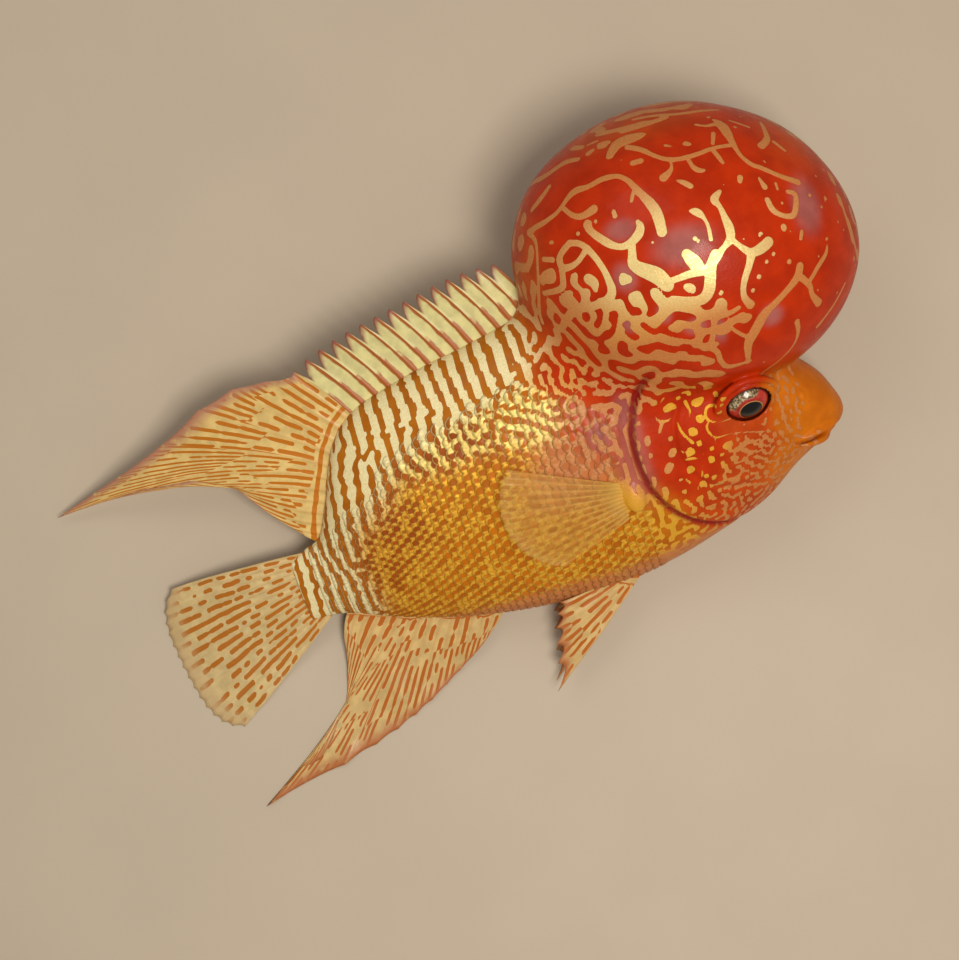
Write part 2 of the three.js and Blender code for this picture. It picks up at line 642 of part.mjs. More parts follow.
const fish = new THREE.Group();
fish.add(
  meshOf("hump", hump, "hump"),
  meshOf("head", head, "face"),
  meshOf("lower_jaw", lowerJaw, "face"),
  meshOf("gill_cover_right", gillCovers[0], "face"),
  meshOf("gill_cover_left", gillCovers[1], "face"),
  meshOf("torso", torso, "flank"),
  meshOf("tail_stem", tailStem, "flank"),
  meshOf("dorsal_fin_spiny", dorsalSpiny, "fin"),
  meshOf("dorsal_fin_soft", dorsalSoft, "fin"),
  meshOf("tail_fin", tailFin, "fin"),
  meshOf("anal_fin", analFin, "fin"),
  meshOf("pectoral_fin_right", pectoralRight, "fin"),
  meshOf("pectoral_fin_left", pectoralLeft, "fin"),
  meshOf("pelvic_fin_right", pelvicFin(1), "fin"),
  meshOf("pelvic_fin_left", pelvicFin(-1), "fin"),
);
for (const [name, side] of [["eye_right", 1], ["eye_left", -1]]) {
  const eye = meshOf(name, ballOf([0, 0, 0], EYE.radius), "eye");
  eye.position.copy(mirrored(eyeCentre, side));
  fish.add(eye);
}
fish.rotation.set(FISH_ROLL, -FISH_PITCH, 0, "YXZ");
fish.position.z = HUMP_HEIGHT;

const part = new THREE.Group();
part.add(fish);
export default part;
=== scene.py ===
import math

import bpy
import numpy as np
from mathutils.kdtree import KDTree
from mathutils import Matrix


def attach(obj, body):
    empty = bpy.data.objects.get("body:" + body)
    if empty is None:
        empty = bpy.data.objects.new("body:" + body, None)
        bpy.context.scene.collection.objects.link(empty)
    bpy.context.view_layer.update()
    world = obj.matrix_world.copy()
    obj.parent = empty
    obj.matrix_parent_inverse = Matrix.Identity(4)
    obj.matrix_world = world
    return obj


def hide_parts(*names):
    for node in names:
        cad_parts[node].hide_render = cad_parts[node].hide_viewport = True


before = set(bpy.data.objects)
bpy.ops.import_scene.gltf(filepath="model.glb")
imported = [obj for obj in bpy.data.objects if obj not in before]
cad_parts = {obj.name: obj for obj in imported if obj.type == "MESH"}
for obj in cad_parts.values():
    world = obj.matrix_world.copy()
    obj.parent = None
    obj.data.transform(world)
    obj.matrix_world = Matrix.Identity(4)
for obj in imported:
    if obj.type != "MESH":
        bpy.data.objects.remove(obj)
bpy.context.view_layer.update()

# Camera and pose. The fish lies on its left side and is seen from straight above, through a long lens that
# is turned so that its back slopes down to the left. Its own frame, in millimetres, has X towards the snout,
# Y towards the back and Z towards its right side, from the middle of the forehead hump.

MM = 0.001
ROLL = math.radians(17.3)
PITCH = math.radians(5.1)
HUMP_HEIGHT = 50.0
FLOOR_GAP = 0.1  # room between the floor and what lies on it
CAMERA_HEIGHT = 750.0
CAMERA_NEAR = 10.0
CAMERA_TURN = math.radians(17.35)
SENSOR_WIDTH = 36.0
IMAGE_SIZE = np.array([959, 960])
FOCAL_PIXELS = 1995.0
HUMP_PIXEL = np.array([681, 248])  # where the middle of the hump is seen

roll_matrix = np.array(
    [[1, 0, 0], [0, math.cos(ROLL), -math.sin(ROLL)], [0, math.sin(ROLL), math.cos(ROLL)]]
)
pitch_matrix = np.array(
    [[math.cos(PITCH), 0, -math.sin(PITCH)], [0, 1, 0], [math.sin(PITCH), 0, math.cos(PITCH)]]
)
lay_down = pitch_matrix @ roll_matrix


def laid(points):
    """Points of the fish's frame in the part's frame, in metres, never under the floor."""
    placed = (np.asarray(points) @ lay_down.T + [0, 0, HUMP_HEIGHT]) * MM
    placed[:, 2] = np.maximum(placed[:, 2], FLOOR_GAP * MM)
    return placed


camera_data = bpy.data.cameras.new("camera")
camera_data.sensor_width = SENSOR_WIDTH
camera_data.lens = SENSOR_WIDTH * FOCAL_PIXELS / IMAGE_SIZE[0]
camera_data.clip_start = CAMERA_NEAR * MM
camera = bpy.data.objects.new("camera", camera_data)
image_right = np.array([math.cos(CAMERA_TURN), -math.sin(CAMERA_TURN), 0])
image_up = np.array([math.sin(CAMERA_TURN), math.cos(CAMERA_TURN), 0])
off_centre = (HUMP_PIXEL - IMAGE_SIZE / 2) * (CAMERA_HEIGHT - HUMP_HEIGHT) / FOCAL_PIXELS
camera_place = -image_right * off_centre[0] + image_up * off_centre[1] + [0, 0, CAMERA_HEIGHT]
camera.location = camera_place * MM
camera.rotation_euler = (0, 0, -CAMERA_TURN)
bpy.context.scene.collection.objects.link(camera)
bpy.context.scene.camera = camera

# Floor and light. A plain pale floor, a big soft lamp low on the right of the picture that throws the
# shadows to the upper left, a bigger, weaker one on the upper left, and an even warm surround.

FLOOR_SIZE = 6000.0
FLOOR_COLOUR = (0.53, 0.44, 0.33)
FLOOR_CLOUDS = 0.965  # how dark the floor's faint clouds are beside it
SURROUND = (1.0, 0.96, 0.9)
SURROUND_STRENGTH = 0.30
LAMP_AIM = np.array([-60, -30, 30])


class Wire:
    """An output of a material's node. An expression on wires adds its Math nodes."""

    def __init__(self, tree, socket=None):
        self.tree = tree
        self.socket = socket

    def node(self, kind, settings, sockets, output=0):
        made = self.tree.nodes.new(kind)
        for name, value in settings.items():
            setattr(made, name, value)
        for name, value in sockets.items():
            if isinstance(value, Wire):
                self.tree.links.new(value.socket, made.inputs[name])
            else:
                made.inputs[name].default_value = value
        return Wire(self.tree, made.outputs[output])

    def maths(self, operation, first, second=0.0):
        return self.node("ShaderNodeMath", {"operation": operation}, {0: first, 1: second})

    def __add__(self, other):
        return self.maths("ADD", self, other)

    def __sub__(self, other):
        return self.maths("SUBTRACT", self, other)

    def __rsub__(self, other):
        return self.maths("SUBTRACT", other, self)

    def __mul__(self, other):
        return self.maths("MULTIPLY", self, other)

    def __truediv__(self, other):
        return self.maths("DIVIDE", self, other)

    def __pow__(self, other):
        return self.maths("POWER", self, other)

    def __rpow__(self, other):
        return self.maths("POWER", other, self)

    __radd__ = __add__
    __rmul__ = __mul__

    def least(self, other):
        return self.maths("MINIMUM", self, other)

    def most(self, other):
        return self.maths("MAXIMUM", self, other)

    def size(self):
        return self.maths("ABSOLUTE", self)

    def floor(self):
        return self.maths("FLOOR", self)

    def sine(self):
        return self.maths("SINE", self)

    def step(self, low, high, start=0.0, end=1.0):
        """A smooth step from start to end while this value goes from low to high."""
        ends = {"From Min": low, "From Max": high, "To Min": start, "To Max": end}
        return self.node("ShaderNodeMapRange", {"interpolation_type": "SMOOTHSTEP"}, {"Value": self, **ends})

    def blend(self, first, second):
        """The first colour where this value is 0, and the second where it is 1."""
        sockets = {0: self, 6: colour(first), 7: colour(second)}
        return self.node("ShaderNodeMix", {"data_type": "RGBA"}, sockets, 2)

    def tint(self, by):
        """This colour times a number or a colour."""
        settings = {"data_type": "RGBA", "blend_type": "MULTIPLY"}
        return self.node("ShaderNodeMix", settings, {0: 1.0, 6: self, 7: by}, 2)

    def attribute(self, name, output="Fac"):
        return self.node("ShaderNodeAttribute", {"attribute_name": name}, {}, output)

    def parts(self):
        """The three numbers of this vector."""
        return [self.node("ShaderNodeSeparateXYZ", {}, {0: self}, k) for k in range(3)]

    def noise(self, size, detail=2.0):
        """Soft noise from 0 to 1, with lumps about `size` millimetres across."""
        where = self.node("ShaderNodeTexCoord", {}, {}, "Object")
        scale = [1 / (size * MM)] * 3
        spread = self.node("ShaderNodeVectorMath", {"operation": "MULTIPLY"}, {0: where, 1: scale})
        sockets = {"Vector": spread, "Scale": 1.0, "Detail": detail}
        return self.node("ShaderNodeTexNoise", {}, sockets)


def colour(value):
    """A wire as it is, or a plain colour with its alpha."""
    return value if isinstance(value, Wire) else (*value, 1.0)


def new_material(name, **constants):
    """A material, the wire to build its pattern from, and its shader's inputs."""
    material = bpy.data.materials.new(name)
    material.use_nodes = True
    shader = material.node_tree.nodes["Principled BSDF"]
    for socket, value in constants.items():
        shader.inputs[socket.replace("_", " ")].default_value = value
    return material, Wire(material.node_tree), shader


def feed(shader, socket, wire):
    """Links a wire to one of the shader's sockets."""
    wire.tree.links.new(wire.socket, shader.inputs[socket])


def bump(wire, height, depth):
    """A bump of the given depth in millimetres from a height that goes from 0 to 1."""
    return wire.node("ShaderNodeBump", {}, {"Strength": 1.0, "Distance": depth * MM, "Height": height})


material, wire, shader = new_material("floor", Roughness=0.55, Specular_IOR_Level=0.3)
clouds = [c * FLOOR_CLOUDS for c in FLOOR_COLOUR]
feed(shader, "Base Color", wire.noise(60, 3).step(0.3, 0.7).blend(FLOOR_COLOUR, clouds))
bpy.ops.mesh.primitive_plane_add(size=FLOOR_SIZE * MM)
floor = bpy.context.object
floor.name = "floor"
floor.data.materials.append(material)

world = bpy.data.worlds.new("surround")
bpy.context.scene.world = world
world.use_nodes = True
background = world.node_tree.nodes["Background"]
background.inputs["Color"].default_value = (*SURROUND, 1)
background.inputs["Strength"].default_value = SURROUND_STRENGTH


def lamp(name, right, up, height, size, power, tint):
    """A square lamp, placed along the picture's own right and up, that faces the middle of the fish."""
    data = bpy.data.lights.new(name, "AREA")
    data.size = size * MM
    data.energy = power
    data.color = tint
    made = bpy.data.objects.new(name, data)
    place = image_right * right + image_up * up + [*LAMP_AIM[:2], height]
    made.location = place * MM
    away = place - LAMP_AIM
    away = away / np.linalg.norm(away)
    made.rotation_euler = (math.acos(away[2]), 0, math.atan2(away[0], -away[1]))
    bpy.context.scene.collection.objects.link(made)


lamp("key_lamp", right=190, up=-170, height=950, size=300, power=6.2, tint=(1.0, 0.94, 0.86))
lamp("fill_lamp", right=-420, up=500, height=900, size=500, power=1.6, tint=(1.0, 0.98, 0.95))
bpy.context.scene.view_settings.view_transform = "Standard"

# Shape of the flesh. One soft body of a fish of about 26 cm: a deep flat-sided trunk, a short head and
# the great fatty hump on the forehead, all as distances in millimetres that are negative inside.

# From the tail stem to the snout: [x, back, belly, half width, fullness above the middle]
STATIONS = np.array(
    [
        [-170, -68, -92, 2.4, 0],
        [-163, -64.5, -92.5, 4.6, 0],
        [-156, -61, -93.5, 7, 0],
        [-149, -48, -96, 9.6, 0],
        [-141, -31, -99.5, 12.6, 0],
        [-130, -20.5, -103.5, 16, 0],
        [-112, -14.5, -108.5, 19.4, 0],
        [-88, -10.5, -112.5, 22.2, 0],
        [-62, -6, -113.5, 23.8, 0.02],
        [-36, -8, -110.5, 24.6, 0.05],
        [-14, -14, -104.5, 25.2, 0.12],
        [4, -26, -98, 24, 0.2],
        [18, -40, -88.5, 19.5, 0.22],
        [28, -50.5, -83.2, 14.6, 0.15],
        [34.5, -58.5, -79.6, 10, 0.05],
        [38, -66.5, -76.4, 5, 0],
        [39.4, -71, -73.6, 1.2, 0],
    ]
)
HUMP_RADII = np.array([61, 52, 50])
HUMP_SHIFT = np.array([1, -1, 0])
HUMP_TILT = math.radians(-17.35)
HUMP_BOXINESS = 1.93
CREASE = (3, 13)  # how softly the hump joins the head, and the back behind it
LEAST_HALF = 0.4  # half the height or width of the thinnest flesh
OUTSIDE = 70.0  # further out than any flesh


def mix(a, b, t):
    return a + (b - a) * t


def smoothstep(low, high, x):
    t = np.clip((x - low) / (high - low), 0, 1)
    return t * t * (3 - 2 * t)


def smooth_min(a, b, reach):
    overlap = np.maximum(reach - np.abs(a - b), 0) / reach
    return np.minimum(a, b) - overlap * overlap * reach / 4


def smooth_max(a, b, reach):
    return -smooth_min(-a, -b, reach)


def bell(x, width):
    return np.exp(-((x / width) ** 2))


def along(rows, x, column):
    """One column of a table whose rows rise in their first number, as a smooth curve through them."""
    at, value = rows[:, 0], rows[:, column]
    slope = np.empty(len(at))
    slope[1:-1] = (value[2:] - value[:-2]) / (at[2:] - at[:-2])
    slope[0] = (value[1] - value[0]) / (at[1] - at[0])
    slope[-1] = (value[-1] - value[-2]) / (at[-1] - at[-2])
    i = np.clip(np.searchsorted(at, x) - 1, 0, len(at) - 2)
    span = at[i + 1] - at[i]
    t = np.clip((x - at[i]) / span, 0, 1)
    t2, t3 = t * t, t * t * t
    ends = value[i] * (2 * t3 - 3 * t2 + 1) + value[i + 1] * (3 * t2 - 2 * t3)
    return ends + span * (slope[i] * (t3 - 2 * t2 + t) + slope[i + 1] * (t3 - t2))


def hump_distance(p):
    c, s = math.cos(HUMP_TILT), math.sin(HUMP_TILT)
    turned = np.stack([p[:, 0] * c + p[:, 1] * s, -p[:, 0] * s + p[:, 1] * c, p[:, 2]], 1)
    q = (turned - HUMP_SHIFT) / HUMP_RADII
    flat = (np.abs(q[:, 0]) ** HUMP_BOXINESS + np.abs(q[:, 1]) ** HUMP_BOXINESS) ** (1 / HUMP_BOXINESS)
    k = np.hypot(flat, q[:, 2])
    return k * (k - 1) / np.maximum(np.linalg.norm(q / HUMP_RADII, axis=1), 1e-6)


def body_distance(p):
    x, y, z = p.T
    back, belly, width, fullness = (along(STATIONS, x, column) for column in (1, 2, 3, 4))
    half = np.maximum((back - belly) / 2, LEAST_HALF)
    s = (y - (back + belly) / 2) / half
    width = np.maximum(width, LEAST_HALF) * np.maximum(1 + fullness * s, 0.4)
    q = np.hypot(s, z / width)
    side = q * (q - 1) / np.maximum(np.hypot(s / half, z / (width * width)), 1e-6)
    return np.maximum(side, np.maximum(x - STATIONS[-1, 0], STATIONS[0, 0] - x))


def flesh_distance(p):
    crease = mix(*CREASE, smoothstep(0, -45, p[:, 0]))
    return smooth_min(body_distance(p), hump_distance(p), crease)


def slope_of(distance, p, step=0.15):
    """Which way, and how fast, a distance grows."""
    sides = []
    for axis in np.eye(3) * step:
        sides.append((distance(p + axis) - distance(p - axis)) / (2 * step))
    return np.stack(sides, 1)


def settle(distance, p, times=3):
    """Moves points onto the surface where a distance is zero."""
    for _ in range(times):
        slope = slope_of(distance, p)
        p = p - slope * (distance(p) / np.maximum((slope**2).sum(1), 0.1))[:, None]
    return p


def side_height(distance, x, y):
    """How far out to the right the surface lies at places of the side view."""
    x, y = np.broadcast_arrays(np.asarray(x, float), np.asarray(y, float))
    inside = np.zeros(x.size)
    outside = np.full(x.size, OUTSIDE)
    for _ in range(30):
        middle = (inside + outside) / 2
        within = distance(np.stack([x.ravel(), y.ravel(), middle], 1)) < 0
        inside = np.where(within, middle, inside)
        outside = np.where(within, outside, middle)
    return inside.reshape(x.shape)


# Features of the head: lips and the line of the mouth, nostrils, the raised rim and upper fold of each
# eye, the cheek's fold, and the gill cover that stands proud of the shoulder with its dark slit behind.

GILL_CENTRE = (-2.0, -62.0)
GILL_RADII = (34.0, 38.0)
GILL_PROUD = 1.35
SLIT_RING = 1.035  # where the slit runs, as a share of the gill cover's radii
SLIT_WIDTH = 0.026
SLIT_DEPTH = 1.15
CHEEK_RING = 0.6
CHEEK_FOLD = 0.5
CHEEK_GROOVE = 0.35
THROAT_WAVES = 0.25  # the ripples of the gill cover's lower edge
MOUTH_CORNER = (19.0, -77.4)
MOUTH_FRONT = (35.0, -77.8)
MOUTH_DEPTH = 1.7
UPPER_LIP = (2.5, 0, 2.45)  # above the mouth's line, set back from its front, thickness
LOWER_LIP = (-2.5, 4.6, 2.15)
JAW_CREASE = 0.45
NOSTRIL = (24.0, -60.0)
NOSTRIL_DEPTH = 1.3
NOSTRIL_RIM = 0.4
EYE = (5.7, -54.2)
EYE_RADIUS = 9.5
EYE_PROUD = 4.4
EYE_ROOM = 0.12  # between the eye and its socket
ORBIT_THICK = 1.1  # flesh round the sides of the eye, up to its rim
LID_THICK = 1.5
RIM_THICK = 1.15
EYE_AXIS = np.array([0.1, -0.58, 0.8]) / np.linalg.norm([0.1, -0.58, 0.8])
PECTORAL_LOBE = (-41.5, -75.5)
LOBE_RADII = (4.2, 6.6, 2.4)
SKIN_DEPTH = 0.35  # the scales and the finish lie over the skin


def gill_ring(x, y):
    """How far out a place lies from the gill cover's middle, with 1 on its edge."""
    return np.hypot((x - GILL_CENTRE[0]) / GILL_RADII[0], (y - GILL_CENTRE[1]) / GILL_RADII[1])


def gill_rear(x, y):
    """1 along the free rear edge of the gill cover, 0 at its front, its top and under the throat."""
    return smoothstep(0, -12, x - GILL_CENTRE[0]) * smoothstep(-27, -38, y)


def head_distance(p):
    """Distance to the plain head, on which the eyes, mouth and nostrils are placed."""
    x, y = p[:, 0], p[:, 1]
    rear = smoothstep(0, -12, x - GILL_CENTRE[0])
    return flesh_distance(p) - GILL_PROUD * rear * smoothstep(0.6, 0.97, gill_ring(x, y))


eye_surface = np.array([*EYE, float(side_height(head_distance, EYE[0], EYE[1]))])
eye_centre = eye_surface + EYE_AXIS * (EYE_PROUD - EYE_RADIUS)
eye_cap = math.sqrt(EYE_RADIUS**2 - (EYE_RADIUS - EYE_PROUD) ** 2)
eye_up = np.array([0, 1, 0]) - EYE_AXIS * EYE_AXIS[1]
eye_up = eye_up / np.linalg.norm(eye_up)
eye_side = np.cross(eye_up, EYE_AXIS)
mouth_corner_z = float(side_height(head_distance, *MOUTH_CORNER)) - 0.4
nostril_z = float(side_height(head_distance, *NOSTRIL))
lobe_z = float(side_height(flesh_distance, *PECTORAL_LOBE))


def lip_distance(p, drop, set_back, radius):
    """Distance to a fold that runs round the mouth, for points on the right side."""
    reach = MOUTH_FRONT[0] - MOUTH_CORNER[0] - set_back
    turn = np.linspace(0, math.pi / 2, 14)
    share = turn / (math.pi / 2)
    x = MOUTH_CORNER[0] + reach * np.sin(turn)
    y = mix(MOUTH_CORNER[1], MOUTH_FRONT[1], share) + drop * np.sqrt(np.sin(turn))
    z = mouth_corner_z * np.cos(turn) ** 0.85
    path = np.stack([x, y, z], 1)
    thick = mix(radius * 0.45, radius, share**0.6)
    best = np.full(len(p), 1e3)
    for a, b, r0, r1 in zip(path[:-1], path[1:], thick[:-1], thick[1:]):
        t = np.clip((p - a) @ (b - a) / ((b - a) @ (b - a)), 0, 1)
        best = np.minimum(best, np.linalg.norm(p - a - t[:, None] * (b - a), axis=1) - mix(r0, r1, t))
    return best


def ring_distance(p, middle, axis, radius, thick):
    """Distance to a thick ring round an axis."""
    away = p - middle
    height = away @ axis
    outward = np.linalg.norm(away - height[:, None] * axis, axis=1)
    return np.hypot(outward - radius, height) - thick


def with_gill_cover(d, x, y):
    """The head with its gill covers, their slits, the folds of the cheeks and the ripples of the throat."""
    ring = gill_ring(x, y)
    rear = gill_rear(x, y)
    d = d - GILL_PROUD * rear * smoothstep(0.6, 0.95, ring) * (1 - smoothstep(0.985, 1.01, ring))
    d = d + SLIT_DEPTH * rear * bell(ring - SLIT_RING, SLIT_WIDTH)
    cheek = smoothstep(6, -4, x) * smoothstep(-34, -44, y)
    fold = CHEEK_FOLD * cheek * bell(ring - CHEEK_RING, 0.025)
    d = d + fold - CHEEK_GROOVE * cheek * bell(ring - CHEEK_RING + 0.06, 0.04)
    throat = smoothstep(-78, -88, y) * smoothstep(1, 0.9, ring)
    return d - THROAT_WAVES * rear * np.cos(ring * 48) * throat


def with_mouth(d, p):
    """The head with its lips, the line of the closed mouth, the crease of the jaw and the nostrils."""
    x, y, z = p.T
    near = np.flatnonzero((x > 8) & (y > -90) & (y < -64) & (np.abs(d) < 9))
    q = p[near]
    lips = smooth_min(lip_distance(q, *UPPER_LIP), lip_distance(q, *LOWER_LIP), 0.3)
    head = smooth_min(d[near], lips, 1.1)
    line = mix(MOUTH_CORNER[1], MOUTH_FRONT[1], np.clip((q[:, 0] - MOUTH_CORNER[0]) / 16, 0, 1))
    cut = bell(q[:, 1] - line, 0.6) * smoothstep(MOUTH_CORNER[0] - 4, MOUTH_CORNER[0] + 1, q[:, 0])
    d[near] = head + MOUTH_DEPTH * cut
    jaw = np.abs((y + 80) * 0.66 - (x - 17) * 0.75)
    jaw_ends = smoothstep(-98, -92, y) * smoothstep(-79, -83, y) * smoothstep(-4, 4, x)
    d = d + JAW_CREASE * bell(jaw, 1.0) * jaw_ends
    pit = np.hypot(np.hypot(x - NOSTRIL[0], y - NOSTRIL[1]), z - nostril_z)
    return d + NOSTRIL_DEPTH * bell(pit, 0.85) - NOSTRIL_RIM * bell(pit - 1.75, 0.6)


def with_eye(d, p):
    """The head with the mound, upper fold and rim of each eye, and a socket that the eye fits."""
    near = np.flatnonzero(np.linalg.norm(p - eye_surface, axis=1) < 20)
    q = p[near]
    from_centre = np.linalg.norm(q - eye_centre, axis=1)
    below_rim = (q - eye_centre) @ EYE_AXIS - (EYE_RADIUS - EYE_PROUD) - 0.4
    mound = np.maximum(from_centre - EYE_RADIUS - ORBIT_THICK, below_rim)
    head = smooth_min(d[near], mound, 3)
    over = (q - eye_surface) @ eye_up
    lid = ring_distance(q, eye_surface + eye_up * 0.8, EYE_AXIS, eye_cap + 3.2, LID_THICK)
    head = smooth_min(head, lid + 4 * smoothstep(2, -4, over), 2.2)
    rim = ring_distance(q, eye_surface, EYE_AXIS, eye_cap + 0.7, RIM_THICK)
    head = smooth_min(head, rim, 1.3)
    d[near] = smooth_max(head, EYE_RADIUS + EYE_ROOM - from_centre, 0.35)
    return d


def skin_distance(p):
    """Distance to the finished skin, with the features of both sides."""
    p = np.stack([p[:, 0], p[:, 1], np.abs(p[:, 2])], 1)
    x, y, z = p.T
    d = with_eye(with_mouth(with_gill_cover(flesh_distance(p), x, y), p), p)
    lobe = (p - [*PECTORAL_LOBE, lobe_z]) / LOBE_RADII
    d = smooth_min(d, (np.linalg.norm(lobe, axis=1) - 1) * LOBE_RADII[2], 1.5)
    lumps = np.sin(0.13 * x + 1.1) * np.sin(0.11 * y + 0.4) * np.cos(0.09 * z)
    return d + SKIN_DEPTH + 0.35 * lumps * smoothstep(-30, -10, y)


# Skin. One seamless coat of flesh from the lips to the root of the tail, over the hump, in place of the
# solids of head, jaw, gill covers, trunk and tail stem. It is a net of small squares laid where the
# distance is zero.

SKIN_CELL = 0.75
SKIN_LOW = (-173.5, -118.0, -54.0)
SKIN_HIGH = (64.0, 55.0, 54.0)


def net_of(distance, low, high, cell, coarse=4):
    """Corners and squares of a net over the zero of a distance, one corner in each cell that it crosses."""
    low = np.array(low, float)
    count = np.ceil((np.array(high) - low) / (cell * coarse)).astype(int) * coarse + 1
    steps = [np.arange(0, n, coarse) for n in count]
    rough_at = np.stack(np.meshgrid(*steps, indexing="ij"), -1).reshape(-1, 3)
    rough = distance(low + cell * rough_at).reshape([len(s) for s in steps])
    nearest = [np.minimum((np.arange(n) + coarse // 2) // coarse, len(s) - 1) for n, s in zip(count, steps)]
    values = rough[np.ix_(*nearest)]
    close = np.argwhere(np.abs(values) < cell * coarse * 2)
    values[tuple(close.T)] = distance(low + cell * close)
    inside = values < 0
    total = np.zeros((*(count - 1), 3))
    hits = np.zeros(count - 1)
    crossings = []
    for axis in range(3):
        first, second = [slice(None)] * 3, [slice(None)] * 3
        first[axis], second[axis] = slice(0, -1), slice(1, None)
        first, second = tuple(first), tuple(second)
        at = np.argwhere(inside[first] != inside[second])
        v0, v1 = values[first][tuple(at.T)], values[second][tuple(at.T)]
        point = at.astype(float)
        point[:, axis] += v0 / (v0 - v1)
        u, v = (axis + 1) % 3, (axis + 2) % 3
        around = []
        for du, dv in ((1, 1), (0, 1), (0, 0), (1, 0)):
            cell_at = at.copy()
            cell_at[:, u] -= du
            cell_at[:, v] -= dv
            np.add.at(total, tuple(cell_at.T), point)
            np.add.at(hits, tuple(cell_at.T), 1)
            around.append(cell_at)
        crossings.append((around, v0 < 0))
    used = hits > 0
    number = np.full(hits.shape, -1)
    number[used] = np.arange(used.sum())
    points = low + cell * total[used] / hits[used][:, None]
    faces = []
    for around, outward in crossings:
        quad = np.stack([number[tuple(c.T)] for c in around], 1)
        faces.append(np.where(outward[:, None], quad, quad[:, ::-1]))
    return points, np.concatenate(faces)


def new_piece(name, points, faces, material, attributes=None):
    """A smooth mesh object in the fish's place, with its attributes, that rides on the part."""
    mesh = bpy.data.meshes.new(name)
    mesh.from_pydata(laid(points).tolist(), [], np.asarray(faces).tolist())
    kinds = {1: ("FLOAT", "value"), 3: ("FLOAT_VECTOR", "vector"), 4: ("FLOAT_COLOR", "color")}
    for key, values in (attributes or {}).items():
        values = np.asarray(values, float)
        kind, field = kinds[1 if values.ndim == 1 else values.shape[1]]
        mesh.attributes.new(key, kind, "POINT").data.foreach_set(field, values.ravel())
    mesh.polygons.foreach_set("use_smooth", np.ones(len(mesh.polygons), bool))
    mesh.materials.append(material)
    mesh.update()
    piece = bpy.data.objects.new(name, mesh)
    bpy.context.scene.collection.objects.link(piece)
    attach(piece, "root")
    return piece


skin_points, skin_faces = net_of(skin_distance, SKIN_LOW, SKIN_HIGH, SKIN_CELL)
skin_points = settle(skin_distance, skin_points, 2)

# Markings. Gold veins on a red hump, fine lines on the cheek, cream and brown stripes along the back and
# golden flanks. They grow in the skin as a real fish's do, from cells that strengthen their near neighbours
# and hold back those further off, round the main veins, which are listed.

RED = (0.48, 0.026, 0.0008)
ORANGE_RED = (0.50, 0.058, 0.004)
ORANGE = (0.60, 0.15, 0.003)
PINK = (0.40, 0.105, 0.085)
MAUVE = (0.42, 0.10, 0.07)
SALMON = (0.58, 0.19, 0.06)
AMBER = (0.52, 0.145, 0.004)
DARK_AMBER = (0.34, 0.065, 0.004)
BROWN = (0.45, 0.14, 0.006)
TAN = (0.57, 0.21, 0.060)
TAN_GOLD = (0.70, 0.32, 0.08)
PALE_GOLD = (0.86, 0.66, 0.28)
GOLD = (0.78, 0.40, 0.035)
BRIGHT_GOLD = (0.86, 0.66, 0.20)
PINK_TAN = (0.60, 0.24, 0.09)
CREAM = (0.88, 0.77, 0.43)

